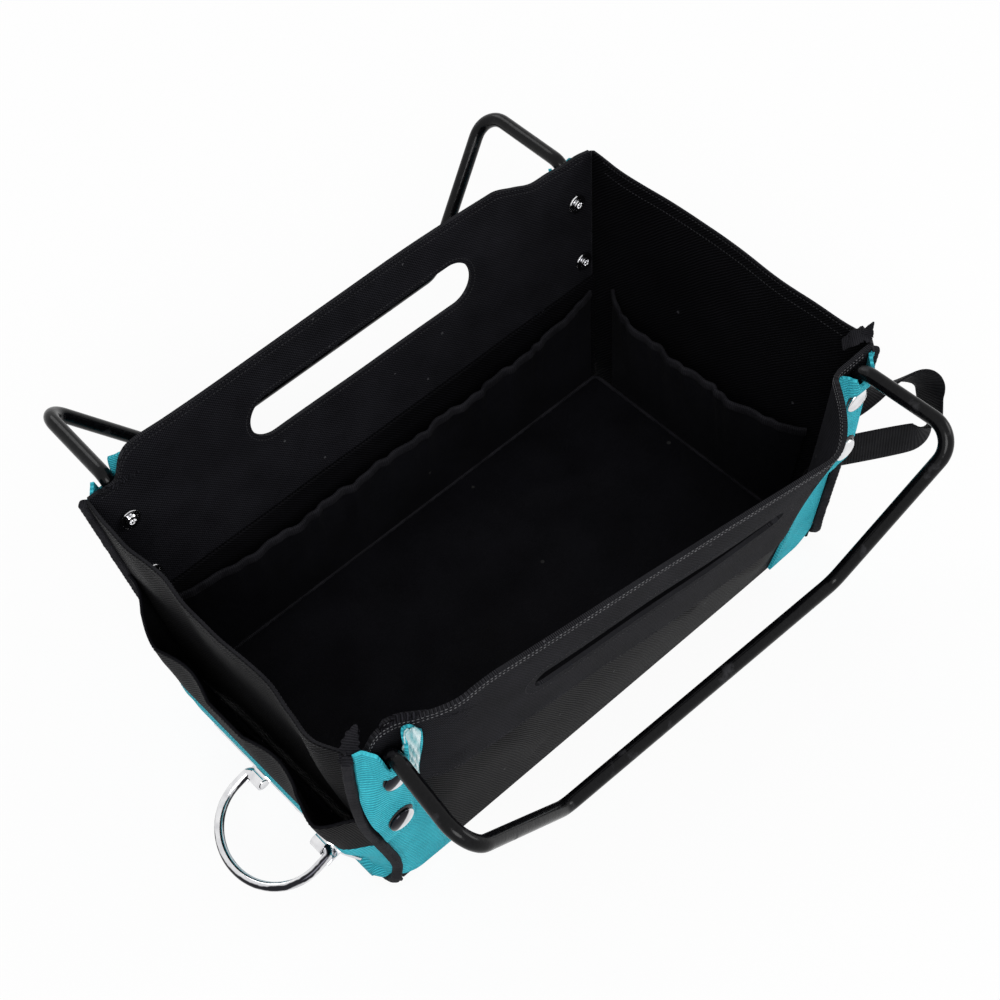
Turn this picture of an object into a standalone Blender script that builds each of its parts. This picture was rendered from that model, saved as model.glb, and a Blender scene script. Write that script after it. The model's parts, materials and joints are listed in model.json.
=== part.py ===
"""Open-topped tool bag that hangs on a ladder by two bent steel rods.

Units are metres, +Z is up. The origin is the middle of the bag's underside, +X runs along the bag
towards the end with the webbing loop, and -Y is the front long wall. Each wall leans outwards from the
base to the rim. A place on a wall is given by a distance along it, a level up its inner face and an
offset outwards, square to that face.
"""
import math

import bmesh
import bpy
from mathutils import Matrix, Vector

# Bag, measured on the inner faces of its walls
RIM_LENGTH = 0.340
RIM_WIDTH = 0.195
BASE_LENGTH = 0.303
BASE_WIDTH = 0.168
WALL_HEIGHT = 0.164
WALL_THICKNESS = 0.0020
GAP = 0.0003
CUT_OVERRUN = 0.010

# Base: cover below, stiffening board, lining on top
BASE_COVER_THICKNESS = 0.0012
BASE_BOARD_THICKNESS = 0.0020
FLOOR_LINING_THICKNESS = 0.0012
BASE_CORNER_RADIUS = 0.003

# Handle panels of coarse cloth, lapped over the walls
HANDLE_THICKNESS = 0.0030
HANDLE_STAND = 0.016
HANDLE_HEIGHT = 0.110
HANDLE_CORNER_FALL = 0.0025
HANDLE_CHAMFER_INSET = 0.058
HANDLE_CHAMFER_RUN = 0.037
SEAM_LAP = 0.010
SLOT_LENGTH = 0.152
SLOT_HEIGHT = 0.023
SLOT_DROP = 0.042
SLOT_CUT_REACH = 0.040

# The front wall bows outwards between the hooks, more towards the right end
FRONT_BOW = 0.040
FRONT_BOW_LEFT_SHARE = 0.36
FRONT_BOW_MARGIN = 0.0065
FRONT_BOW_LEFT_RUN = 0.034
FRONT_BOW_RIGHT_RUN = 0.056
WALL_STATIONS = 60
WALL_FLAT_SHARE = 0.92
BOW_STATION = 0.003

# Corner panels over the hooks' legs
CORNER_PANEL_WIDTH = 0.037
CORNER_PANEL_THICKNESS = 0.0018
CORNER_PANEL_BOTTOM_LEVEL = 0.003
CORNER_PANEL_FALL = 0.006
CORNER_STEP_RUN = 0.007
CORNER_HUMP_MARGIN = 0.0015
CORNER_HUMP_RUN = 0.005
CORNER_NOTCH_HALF_WIDTH = 0.0068
CORNER_NOTCH_RADIUS = 0.0015
CORNER_NOTCH_DEPTH = 0.0148

# Ladder hooks
HOOK_ROD_RADIUS = 0.004
HOOK_INSET = 0.0064
HOOK_ARM_FALL = 0.003
HOOK_ARM_LENGTH = 0.0583
HOOK_DROP = 0.0754
HOOK_DROP_ANGLE = math.radians(98)
HOOK_BAR_HALF_LENGTH = 0.0925
HOOK_LEG_TAIL = 0.011
HOOK_EXIT_RADIUS = 0.008
HOOK_CORNER_RADIUS = 0.014
HOOK_BAR_BEND_RADIUS = 0.012
HOOK_FLAT_THICKNESS = 0.0038
HOOK_FLAT_WIDTH = 0.012
HOOK_FLAT_RUN = 0.004

# Rivets through the hooks' legs
RIVET_UPPER_DROP = 0.024
RIVET_SPACING = 0.043
RIVET_SHANK_RADIUS = 0.0024
RIVET_HEAD_RADIUS = 0.0070
RIVET_HEAD_HEIGHT = 0.0028
RIVET_HEAD_RIM = 0.0006
RIVET_FLARE_RADIUS = 0.0036
RIVET_FLARE_HEIGHT = 0.0009
RIVET_HOLE_CLEARANCE = 0.0003
WASHER_RADIUS = 0.0058
WASHER_THICKNESS = 0.0012
WASHER_RIM_HEIGHT = 0.0004

# Bindings over the corner seams of each end
BINDING_RADIUS = 0.0026
BINDING_BEND_RADIUS = 0.009
BINDING_STAND = 0.002
BINDING_BOW = 0.0030

# Bound seam round the floor and pockets inside
FLOOR_SEAM_RADIUS = 0.0014
INNER_POCKET_THICKNESS = 0.0012
INNER_POCKET_MARGIN = 0.006
BACK_POCKET_DROP = 0.021
BACK_POCKET_BULGE = 0.010
RIGHT_POCKET_TOP_LEVEL = 0.080
RIGHT_POCKET_BULGE = 0.014
POCKET_FOOT_GAP = 0.0008

# Gaping pocket on the left end
END_POCKET_THICKNESS = 0.0018
END_POCKET_RIDGE_LEVEL = 0.052
END_POCKET_SEAM_LEVEL = 0.062
END_POCKET_LIP_LEVEL = 0.103
END_POCKET_RIDGE_BULGE = 0.0151
END_POCKET_SEAM_BULGE = 0.0146
END_POCKET_LIP_BULGE = 0.0155
END_POCKET_FRONT_SHARE = 0.84
END_POCKET_REAR_SHARE = 0.50

# Hammer loop, its plate and its rivets
LOOP_WIRE_RADIUS = 0.0025
LOOP_HALF_WIDTH = 0.0325
LOOP_STRAIGHT = 0.0100
LOOP_DEPTH = 0.0290
LOOP_CORNER_INSET = 0.046
LOOP_BEND_RADIUS = 0.0030
LOOP_REST_ANGLE = math.radians(17.5)
LOOP_RUNNING_GAP = 0.0004
KNUCKLE_LENGTH = 0.0080
KNUCKLE_WALL = 0.0012
PLATE_THICKNESS = 0.0012
PLATE_HEIGHT = 0.027
PLATE_REAR_REACH = 0.030
PLATE_CORNER_RADIUS = 0.004
PLATE_RIVET_INSET = 0.0065
PLATE_RIVET_RADIUS = 0.0016
PLATE_RIVET_HEAD_RADIUS = 0.0036
PLATE_RIVET_HEAD_HEIGHT = 0.0012
STOP_WIDTH = 0.0040
STOP_THICKNESS = 0.0012

# Webbing loop on the right end. Its lower end is sewn upright and its upper end lying flat
WEBBING_WIDTH = 0.025
WEBBING_THICKNESS = 0.0016
WEBBING_LOWER_LEVEL = 0.064
WEBBING_UPPER_LEVEL = 0.098
WEBBING_LOWER_INSET = 0.003
WEBBING_UPPER_INSET = 0.0085
WEBBING_LOWER_REACH = 0.054
WEBBING_UPPER_REACH = 0.060
WEBBING_LOWER_DRIFT = 0.030
WEBBING_UPPER_DRIFT = 0.017
WEBBING_BEND_RADIUS = 0.012
WEBBING_ROOT_RUN = 0.006
WEBBING_ROOT_RADIUS = 0.008

LONG_LEAN = math.atan2((RIM_WIDTH - BASE_WIDTH) / 2, WALL_HEIGHT)
END_LEAN = math.atan2((RIM_LENGTH - BASE_LENGTH) / 2, WALL_HEIGHT)
HANDLE_TOP_LEVEL = WALL_HEIGHT + HANDLE_STAND
HANDLE_BOTTOM_LEVEL = HANDLE_TOP_LEVEL - HANDLE_HEIGHT
HANDLE_CORNER_LEVEL = WALL_HEIGHT - HANDLE_CORNER_FALL
HANDLE_CHAMFER_START = RIM_LENGTH / 2 - HANDLE_CHAMFER_INSET
HANDLE_CHAMFER_END = HANDLE_CHAMFER_START + HANDLE_CHAMFER_RUN
SLOT_LEVEL = HANDLE_TOP_LEVEL - SLOT_DROP
HOOK_ARM_LEVEL = WALL_HEIGHT - HOOK_ARM_FALL
RIVET_UPPER_LEVEL = HOOK_ARM_LEVEL - RIVET_UPPER_DROP
RIVET_LOWER_LEVEL = RIVET_UPPER_LEVEL - RIVET_SPACING
HOOK_LEG_BOTTOM_LEVEL = RIVET_LOWER_LEVEL - HOOK_LEG_TAIL
HOOK_FOOT_SHARE = HOOK_LEG_BOTTOM_LEVEL / WALL_HEIGHT
LEG_LEVEL_LENGTH = BASE_LENGTH + (RIM_LENGTH - BASE_LENGTH) * HOOK_FOOT_SHARE
HOOK_HALF_SPAN = min(LEG_LEVEL_LENGTH, RIM_LENGTH) / 2 - HOOK_INSET
CORNER_PANEL_TOP_LEVEL = WALL_HEIGHT - CORNER_PANEL_FALL
CORNER_NOTCH_LEVEL = HOOK_ARM_LEVEL - CORNER_NOTCH_DEPTH
FRONT_BOW_EDGE = HOOK_HALF_SPAN - FRONT_BOW_MARGIN
BINDING_TOP_LEVEL = WALL_HEIGHT + BINDING_STAND
BACK_POCKET_TOP_LEVEL = RIVET_LOWER_LEVEL - BACK_POCKET_DROP
LOOP_CENTRE = LOOP_CORNER_INSET - BASE_WIDTH / 2
WALL_OUTSIDE = WALL_THICKNESS
HANDLE_INSIDE = WALL_OUTSIDE + GAP
HANDLE_OUTSIDE = HANDLE_INSIDE + HANDLE_THICKNESS
HOOK_INSIDE = HANDLE_OUTSIDE + GAP
HOOK_OFFSET = HOOK_INSIDE + HOOK_ROD_RADIUS
CORNER_LOW_OFFSET = WALL_OUTSIDE + GAP
CORNER_HIGH_OFFSET = HANDLE_OUTSIDE + GAP
CORNER_HUMP_OFFSET = HOOK_INSIDE + HOOK_FLAT_THICKNESS + GAP
RIVET_HEAD_OFFSET = CORNER_HUMP_OFFSET + CORNER_PANEL_THICKNESS + 2 * GAP
END_POCKET_OFFSET = WALL_OUTSIDE + GAP
END_WALL_LAP = HANDLE_OUTSIDE
BINDING_END_OFFSET = GAP + BINDING_RADIUS
BINDING_SIDE_OFFSET = END_WALL_LAP + GAP + BINDING_RADIUS
FLOOR_TOP = BASE_COVER_THICKNESS + BASE_BOARD_THICKNESS + FLOOR_LINING_THICKNESS + 2 * GAP
END_POCKET_BOTTOM_LEVEL = 2 * BINDING_RADIUS + END_POCKET_THICKNESS + 2 * GAP
END_POCKET_LAP = END_WALL_LAP - END_POCKET_THICKNESS
HINGE_STAND_OFF = GAP + KNUCKLE_WALL + LOOP_RUNNING_GAP + LOOP_WIRE_RADIUS
KNUCKLE_CENTRE = LOOP_HALF_WIDTH - LOOP_BEND_RADIUS - LOOP_RUNNING_GAP - KNUCKLE_LENGTH / 2
LOOP_PIN_END = KNUCKLE_CENTRE - KNUCKLE_LENGTH / 2 - LOOP_RUNNING_GAP
INNER_POCKET_BOTTOM_LEVEL = FLOOR_TOP + 2 * FLOOR_SEAM_RADIUS + 2 * GAP

ROUND_STEPS = 16
BEND_STEPS = 6

FINISHES = {
    "black_cloth": ((0.018, 0.018, 0.021, 1), 0.85, 0.0),
    "handle_cloth": ((0.026, 0.026, 0.030, 1), 0.90, 0.0),
    "teal_cloth": ((0.030, 0.420, 0.480, 1), 0.75, 0.0),
    "black_binding": ((0.030, 0.029, 0.034, 1), 0.80, 0.0),
    "webbing": ((0.022, 0.022, 0.024, 1), 0.85, 0.0),
    "board": ((0.050, 0.050, 0.052, 1), 0.60, 0.0),
    "black_rod": ((0.012, 0.012, 0.014, 1), 0.22, 0.2),
    "chrome": ((0.780, 0.780, 0.790, 1), 0.12, 1.0),
}


def share_between(low, high, share):
    return low + (high - low) * share


def smooth_share(value, low, high):
    """0 at low, 1 at high, with a soft start and end."""
    share = min(max((value - low) / (high - low), 0), 1)
    return share * share * (3 - 2 * share)


def half_length(level):
    return share_between(BASE_LENGTH, RIM_LENGTH, level / WALL_HEIGHT) / 2


def half_width(level):
    return share_between(BASE_WIDTH, RIM_WIDTH, level / WALL_HEIGHT) / 2


def wall_bow(side, along, level):
    """How far the front wall's cloth stands outside the flat wall between the hooks' legs."""
    left_foot = -FRONT_BOW_EDGE + FRONT_BOW_LEFT_RUN
    right_foot = FRONT_BOW_EDGE - FRONT_BOW_RIGHT_RUN
    rise = smooth_share(along, -FRONT_BOW_EDGE, left_foot)
    fall = 1 - smooth_share(along, right_foot, FRONT_BOW_EDGE)
    slope = min(max((along - left_foot) / (right_foot - left_foot), 0), 1)
    reach = FRONT_BOW * share_between(FRONT_BOW_LEFT_SHARE, 1, slope) * rise * fall
    return reach * level / HANDLE_TOP_LEVEL if side < 0 else 0


def bowed_place(side, along, level):
    """A point on the inner face of a long wall, with its bow."""
    return Vector((along, side * half_width(level), level)) + (
        long_wall_normal(side) * wall_bow(side, along, level)
    )


def on_long_wall(side, along, level, offset):
    """A point on the front (side -1) or back (side 1) wall, offset square to the bowed cloth."""
    point = bowed_place(side, along, level)
    run = bowed_place(side, along + GAP, level) - bowed_place(side, along - GAP, level)
    rise = bowed_place(side, along, level + GAP) - bowed_place(side, along, level - GAP)
    normal = run.cross(rise).normalized()
    if normal.dot(long_wall_normal(side)) < 0:
        normal.negate()
    return point + normal * offset


def on_end_wall(side, across, level, offset):
    """A point on the left (side -1) or right (side 1) end wall."""
    reach = half_length(level) + offset * math.cos(END_LEAN)
    return Vector((side * reach, across, level - offset * math.sin(END_LEAN)))


def long_wall_normal(side):
    return Vector((0, side * math.cos(LONG_LEAN), -math.sin(LONG_LEAN)))


def end_wall_normal(side):
    return Vector((side * math.cos(END_LEAN), 0, -math.sin(END_LEAN)))


def end_wall_up(side):
    return Vector((side * math.sin(END_LEAN), 0, math.cos(END_LEAN)))


def clear_scene():
    for old in list(bpy.data.objects):
        bpy.data.objects.remove(old, do_unlink=True)


def new_collection(name):
    group = bpy.data.collections.new(name)
    bpy.context.scene.collection.children.link(group)
    return group


def make_finish(name):
    colour, roughness, metallic = FINISHES[name]
    finish = bpy.data.materials.new(name)
    finish.use_nodes = True
    surface = finish.node_tree.nodes["Principled BSDF"]
    surface.inputs["Base Color"].default_value = colour
    surface.inputs["Roughness"].default_value = roughness
    surface.inputs["Metallic"].default_value = metallic
    finish.diffuse_color = colour
    return finish


def add_object(name, data, group, finish=None):
    made = bpy.data.objects.new(name, data)
    group.objects.link(made)
    if finish:
        own = make_finish(finish)
        own.name = name + "_finish"
        made.data.materials.append(own)
    return made


def add_modifier(owner, kind, **settings):
    modifier = owner.modifiers.new(kind.lower(), kind)
    for key, value in settings.items():
        setattr(modifier, key, value)
    return modifier


def shade_round(owner, angle=math.radians(40)):
    owner.data.shade_smooth()
    owner.data.set_sharp_from_angle(angle=angle)


def rounded_path(corners, radii, steps=BEND_STEPS):
    """Points along straight runs whose inner corners are turned as arcs of the given radii."""
    points = [corners[0]]
    for before, corner, after, radius in zip(corners, corners[1:], corners[2:], radii):
        back = (before - corner).normalized()
        ahead = (after - corner).normalized()
        half_turn = back.angle(ahead) / 2
        tangent = radius / math.tan(half_turn)
        centre = corner + (back + ahead).normalized() * (radius / math.sin(half_turn))
        first = corner + back * tangent - centre
        last = corner + ahead * tangent - centre
        sweep = first.angle(last)
        for step in range(steps + 1):
            share = step / steps
            part = math.sin((1 - share) * sweep) * first + math.sin(share * sweep) * last
            points.append(centre + part / math.sin(sweep))
    points.append(corners[-1])
    return points


def tube_curve(name, points, radius, resolution, group, finish=None, closed=False):
    curve = bpy.data.curves.new(name, "CURVE")
    curve.dimensions = "3D"
    curve.bevel_depth = radius
    curve.bevel_resolution = resolution
    curve.use_fill_caps = not closed
    spline = curve.splines.new("POLY")
    spline.points.add(len(points) - 1)
    spline.use_cyclic_u = closed
    for target, point in zip(spline.points, points):
        target.co = (*point, 1)
    return add_object(name, curve, group, finish)


def curve_to_mesh(curve_object, group, finish=None):
    """The curve's evaluated shape as a mesh with its caps welded; the curve is removed."""
    bpy.context.view_layer.update()
    graph = bpy.context.evaluated_depsgraph_get()
    mesh = bpy.data.meshes.new_from_object(curve_object.evaluated_get(graph))
    name = curve_object.name
    place = curve_object.matrix_world.copy()
    bpy.data.objects.remove(curve_object, do_unlink=True)
    shell = bmesh.new()
    shell.from_mesh(mesh)
    bmesh.ops.remove_doubles(shell, verts=shell.verts, dist=GAP / 10)
    shell.to_mesh(mesh)
    shell.free()
    mesh.materials.clear()
    mesh.name = name
    made = add_object(name, mesh, group, finish)
    made.matrix_world = place
    return made


def outline_points(half_x, half_y, radius, steps=BEND_STEPS):
    """A rectangle with rounded corners, anticlockwise."""
    points = []
    for quarter, (sign_x, sign_y) in enumerate(((1, 1), (-1, 1), (-1, -1), (1, -1))):
        for step in range(steps + 1):
            angle = (quarter + step / steps) * math.pi / 2
            point = Vector((
                sign_x * (half_x - radius) + radius * math.cos(angle),
                sign_y * (half_y - radius) + radius * math.sin(angle),
                0,
            ))
            if all((point - other).length > GAP / 2 for other in points[-1:] + points[:1]):
                points.append(point)
    return points


def plate_from_outline(name, points, thickness, group, finish=None):
    """A flat piece: a filled 2D outline extruded by half its thickness each way."""
    curve = bpy.data.curves.new(name, "CURVE")
    curve.dimensions = "2D"
    curve.fill_mode = "BOTH"
    curve.extrude = thickness / 2
    spline = curve.splines.new("POLY")
    spline.points.add(len(points) - 1)
    spline.use_cyclic_u = True
    for target, point in zip(spline.points, points):
        target.co = (point.x, point.y, 0, 1)
    return add_object(name, curve, group, finish)


def hide_cutter(cutter):
    cutter.hide_render = True
    cutter.display_type = "WIRE"
    return cutter


def cylinder_cutter(name, centre, direction, radius, length):
    mesh = bpy.data.meshes.new(name)
    shell = bmesh.new()
    bmesh.ops.create_cone(
        shell, cap_ends=True, segments=ROUND_STEPS, radius1=radius, radius2=radius, depth=length
    )
    shell.to_mesh(mesh)
    shell.free()
    cutter = hide_cutter(add_object(name, mesh, cutters))
    cutter.matrix_world = Matrix.Translation(centre) @ direction.to_track_quat("Z", "Y").to_matrix().to_4x4()
    return cutter


def cut(owner, cutter):
    add_modifier(owner, "BOOLEAN", operation="DIFFERENCE", object=cutter, solver="EXACT")


def sheet_mesh(name, place, across, up, outward, planes=()):
    """An open grid of cloth. place(a, b) gives a point for each pair of stations, and the grid is
    trimmed to the inner side of each plane in planes, given as a point and a normal."""
    shell = bmesh.new()
    bmesh.ops.create_grid(shell, x_segments=len(across) - 1, y_segments=len(up) - 1, size=1)
    for vertex in shell.verts:
        column = round((vertex.co.x + 1) / 2 * (len(across) - 1))
        row = round((vertex.co.y + 1) / 2 * (len(up) - 1))
        vertex.co = place(across[column], up[row])
    for point, normal in planes:
        parts = shell.verts[:] + shell.edges[:] + shell.faces[:]
        bmesh.ops.bisect_plane(
            shell, geom=parts, plane_co=point, plane_no=normal, clear_outer=True, dist=GAP / 100
        )
    shell.normal_update()
    facing = sum((face.normal * face.calc_area() for face in shell.faces), Vector())
    if facing.dot(outward) < 0:
        bmesh.ops.reverse_faces(shell, faces=shell.faces)
    mesh = bpy.data.meshes.new(name)
    shell.to_mesh(mesh)
    shell.free()
    return mesh


def cloth_sheet(name, place, across, up, outward, thickness, finish, planes=()):
    """A cloth panel: its inner face is the grid, and Solidify gives its thickness outwards."""
    mesh = sheet_mesh(name, place, across, up, outward, planes)
    made = add_object(name, mesh, parts, finish)
    add_modifier(
        made, "SOLIDIFY", thickness=thickness, offset=1, use_even_offset=True,
        use_quality_normals=True,
    )
    return made


def spread(low, high, count):
    return [share_between(low, high, step / count) for step in range(count + 1)]


def make_base():
    """Cover, stiffening board and lining, stacked inside the walls' feet."""
    bottom = 0
    for name, thickness, finish in (
        ("base_cover", BASE_COVER_THICKNESS, "black_cloth"),
        ("base_board", BASE_BOARD_THICKNESS, "board"),
        ("floor_lining", FLOOR_LINING_THICKNESS, "black_cloth"),
    ):
        outline = outline_points(half_length(0) - GAP, half_width(0) - GAP, BASE_CORNER_RADIUS)
        layer = plate_from_outline(name, outline, thickness, parts, finish)
        layer.location.z = bottom + thickness / 2
        bottom += thickness + GAP


def wall_stations():
    """Shares of a long wall's half length: close together where it bows, and one flat field at
    each end, where the rivets go through."""
    return [-1] + spread(-WALL_FLAT_SHARE, WALL_FLAT_SHARE, WALL_STATIONS) + [1]


def make_long_walls():
    """Ribbed cloth below the handle panels, with its upper edge behind their lap."""
    for side, name in ((-1, "front_wall"), (1, "back_wall")):
        cloth_sheet(
            name,
            lambda along, level: on_long_wall(side, along * (half_length(level) - GAP), level, 0),
            wall_stations(),
            spread(GAP, HANDLE_BOTTOM_LEVEL + SEAM_LAP, 4),
            long_wall_normal(side), WALL_THICKNESS, "black_cloth",
        )


def handle_top_level(along):
    """Flat along the middle, eased down to the corners clear of the hooks' arms."""
    drop = smooth_share(abs(along), HANDLE_CHAMFER_START, HANDLE_CHAMFER_END)
    return share_between(HANDLE_TOP_LEVEL, HANDLE_CORNER_LEVEL, drop)


def slot_cutter(name, side):
    half_height = SLOT_HEIGHT / 2
    outline = outline_points(SLOT_LENGTH / 2, half_height, half_height)
    curve = plate_from_outline(name, outline, 2 * SLOT_CUT_REACH, cutters)
    normal = long_wall_normal(side)
    along = Vector((side, 0, 0))
    turn = Matrix((along, normal.cross(along), normal)).transposed().to_4x4()
    centre = on_long_wall(side, 0, SLOT_LEVEL, HANDLE_INSIDE + HANDLE_THICKNESS / 2)
    curve.matrix_world = Matrix.Translation(centre) @ turn
    return hide_cutter(curve_to_mesh(curve, cutters))


def make_handle_panels():
    """Stiff coarse panels with a hand slot, standing a little above the end walls."""
    for side, name in ((-1, "front_handle_panel"), (1, "back_handle_panel")):
        def place(share, rise):
            top = handle_top_level(share * half_length(WALL_HEIGHT))
            level = share_between(HANDLE_BOTTOM_LEVEL, top, rise)
            reach = half_length(min(level, WALL_HEIGHT)) - GAP
            return on_long_wall(side, share * reach, level, HANDLE_INSIDE)

        panel = cloth_sheet(
            name, place, wall_stations(), spread(0, 1, 6),
            long_wall_normal(side), HANDLE_THICKNESS, "handle_cloth",
        )
        cut(panel, slot_cutter(name + "_slot", side))
        for end in (-1, 1):
            for level in (RIVET_LOWER_LEVEL, RIVET_UPPER_LEVEL):
                cut(panel, rivet_hole_cutter(name, side, end, level))
        # Slivers where the slot meets the grid are closed up, and the long rims split evenly.
        add_modifier(panel, "WELD", merge_threshold=GAP / 3)
        add_modifier(panel, "TRIANGULATE", ngon_method="BEAUTY")


def rivet_hole_cutter(name, side, end, level):
    centre = on_long_wall(side, end * HOOK_HALF_SPAN, level, HOOK_OFFSET)
    return cylinder_cutter(
        name + "_rivet_hole", centre, long_wall_normal(side),
        RIVET_SHANK_RADIUS + RIVET_HOLE_CLEARANCE, 2 * HOOK_OFFSET + 2 * CUT_OVERRUN,
    )


def make_end_walls():
    """Plain end walls that cover the ends of the long walls and handle panels."""
    for side, name in ((-1, "left_end_wall"), (1, "right_end_wall")):
        cloth_sheet(
            name,
            lambda across, level: on_end_wall(side, across * (half_width(level) + END_WALL_LAP), level, 0),
            spread(-1, 1, 8),
            spread(GAP, WALL_HEIGHT, 3),
            end_wall_normal(side), WALL_THICKNESS, "black_cloth",
        )


def corner_offset(along, level):
    """Offset of a corner panel's inner face: low on the wall, out over the handle panel's edge, and
    further out over the hook's flattened leg."""
    step = smooth_share(level, HANDLE_BOTTOM_LEVEL - CORNER_STEP_RUN - GAP, HANDLE_BOTTOM_LEVEL - GAP)
    base = share_between(CORNER_LOW_OFFSET, CORNER_HIGH_OFFSET, step)
    inner = HOOK_FLAT_WIDTH / 2 + CORNER_HUMP_MARGIN
    away = abs(along - HOOK_HALF_SPAN)
    beside = 1 - smooth_share(away, inner, inner + CORNER_HUMP_RUN)
    foot = HOOK_LEG_BOTTOM_LEVEL - CORNER_HUMP_MARGIN
    above = smooth_share(level, foot - CORNER_STEP_RUN, foot)
    return share_between(base, CORNER_HUMP_OFFSET, beside * above)


def corner_stations():
    """Distances along the wall and levels at which a corner panel bends."""
    inner = HOOK_FLAT_WIDTH / 2 + CORNER_HUMP_MARGIN
    outer = inner + CORNER_HUMP_RUN
    start = half_length(0) - CORNER_PANEL_WIDTH
    bend = HOOK_HALF_SPAN - outer
    along = spread(start, bend, math.ceil((bend - start) / BOW_STATION))
    along += [HOOK_HALF_SPAN - (inner + outer) / 2, HOOK_HALF_SPAN - inner, HOOK_HALF_SPAN]
    along += [HOOK_HALF_SPAN + inner, HOOK_HALF_SPAN + (inner + outer) / 2, HOOK_HALF_SPAN + outer]
    along += [half_length(WALL_HEIGHT) + CUT_OVERRUN]
    lap = HANDLE_BOTTOM_LEVEL - GAP
    foot = HOOK_LEG_BOTTOM_LEVEL - CORNER_HUMP_MARGIN
    levels = spread(CORNER_PANEL_BOTTOM_LEVEL, lap - CORNER_STEP_RUN, 3)
    levels += [lap - CORNER_STEP_RUN / 2, lap]
    levels += [foot - CORNER_STEP_RUN, foot - CORNER_STEP_RUN / 2]
    levels += [foot] + spread(foot + CORNER_HUMP_MARGIN, CORNER_PANEL_TOP_LEVEL, 4)
    return along, levels


def make_corner_panels():
    """Coloured panels at the ends of the long walls. Each makes the sleeve for a hook's leg and is
    notched at the top, where the round rod comes out."""
    along, levels = corner_stations()
    for side, side_name in ((-1, "front"), (1, "back")):
        for end, end_name in ((-1, "left"), (1, "right")):
            name = side_name + "_" + end_name + "_corner_panel"
            normal = end_wall_normal(end)
            edge = (on_end_wall(end, 0, 0, -GAP), normal)
            inner_edge = (on_end_wall(end, 0, 0, -CORNER_PANEL_WIDTH), -normal)
            panel = cloth_sheet(
                name,
                lambda a, level: on_long_wall(side, end * a, level, corner_offset(a, level)),
                along, levels, long_wall_normal(side), CORNER_PANEL_THICKNESS, "teal_cloth",
                (edge, inner_edge),
            )
            cut(panel, notch_cutter(name + "_notch", side, end))
            for level in (RIVET_LOWER_LEVEL, RIVET_UPPER_LEVEL):
                cut(panel, rivet_hole_cutter(name, side, end, level))


def notch_cutter(name, side, end):
    """A slot for the round rod, open at the panel's top edge."""
    height = CORNER_PANEL_TOP_LEVEL - CORNER_NOTCH_LEVEL + CUT_OVERRUN
    outline = outline_points(CORNER_NOTCH_HALF_WIDTH, height / 2, CORNER_NOTCH_RADIUS)
    curve = plate_from_outline(name, outline, HOOK_OFFSET + 2 * CUT_OVERRUN, cutters)
    normal = long_wall_normal(side)
    across = Vector((side, 0, 0))
    turn = Matrix((across, normal.cross(across), normal)).transposed().to_4x4()
    centre = on_long_wall(side, end * HOOK_HALF_SPAN, CORNER_NOTCH_LEVEL + height / 2, HOOK_OFFSET)
    curve.matrix_world = Matrix.Translation(centre) @ turn
    return hide_cutter(curve_to_mesh(curve, cutters))


def hook_route(side):
    """One leg up its sleeve, out along the arm, down and inwards to the straight bar, and back."""
    normal = long_wall_normal(side)
    up = Vector((0, side * math.sin(LONG_LEAN), math.cos(LONG_LEAN)))
    fall = normal * math.cos(HOOK_DROP_ANGLE) - up * math.sin(HOOK_DROP_ANGLE)
    foot = on_long_wall(side, -HOOK_HALF_SPAN, HOOK_LEG_BOTTOM_LEVEL, HOOK_OFFSET)
    shoulder = on_long_wall(side, -HOOK_HALF_SPAN, HOOK_ARM_LEVEL, HOOK_OFFSET)
    elbow = shoulder + normal * HOOK_ARM_LENGTH
    knee = elbow + fall * HOOK_DROP
    knee.x = -HOOK_BAR_HALF_LENGTH
    half = [foot, shoulder, elbow, knee]
    other = [Vector((-point.x, point.y, point.z)) for point in reversed(half)]
    bends = [HOOK_EXIT_RADIUS, HOOK_CORNER_RADIUS, HOOK_BAR_BEND_RADIUS]
    return rounded_path(half + other, bends + bends[::-1])


def flatten_legs(hook, side):
    """Press both legs flat against the handle panel, wider than the rod, below the exit bend."""
    normal = long_wall_normal(side)
    up = Vector((0, side * math.sin(LONG_LEAN), math.cos(LONG_LEAN)))
    inside = on_long_wall(side, HOOK_HALF_SPAN, 0, HOOK_INSIDE)
    shoulder = on_long_wall(side, HOOK_HALF_SPAN, HOOK_ARM_LEVEL, HOOK_OFFSET)
    start = (shoulder - inside).dot(up) - HOOK_EXIT_RADIUS
    thinning = HOOK_FLAT_THICKNESS / (2 * HOOK_ROD_RADIUS)
    widening = HOOK_FLAT_WIDTH / (2 * HOOK_ROD_RADIUS)
    for vertex in hook.data.vertices:
        place = vertex.co - inside
        depth = place.dot(normal)
        rise = place.dot(up)
        if depth > 2 * HOOK_ROD_RADIUS + GAP or rise > start + GAP:
            continue
        share = smooth_share(start - rise, 0, HOOK_FLAT_RUN)
        vertex.co -= normal * depth * (1 - thinning) * share
        centre = math.copysign(HOOK_HALF_SPAN, vertex.co.x)
        vertex.co.x = centre + (vertex.co.x - centre) * share_between(1, widening, share)


def add_leg_stations(points, side):
    """Extra points down both legs, so that the rod can be pressed flat in a short run."""
    up = Vector((0, side * math.sin(LONG_LEAN), math.cos(LONG_LEAN)))
    shares = [HOOK_FLAT_RUN * step / 3 for step in (1, 2, 3)]
    first = [points[1] - up * run for run in reversed(shares)]
    last = [points[-2] - up * run for run in shares]
    return points[:1] + first + points[1:-1] + last + points[-1:]


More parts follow.
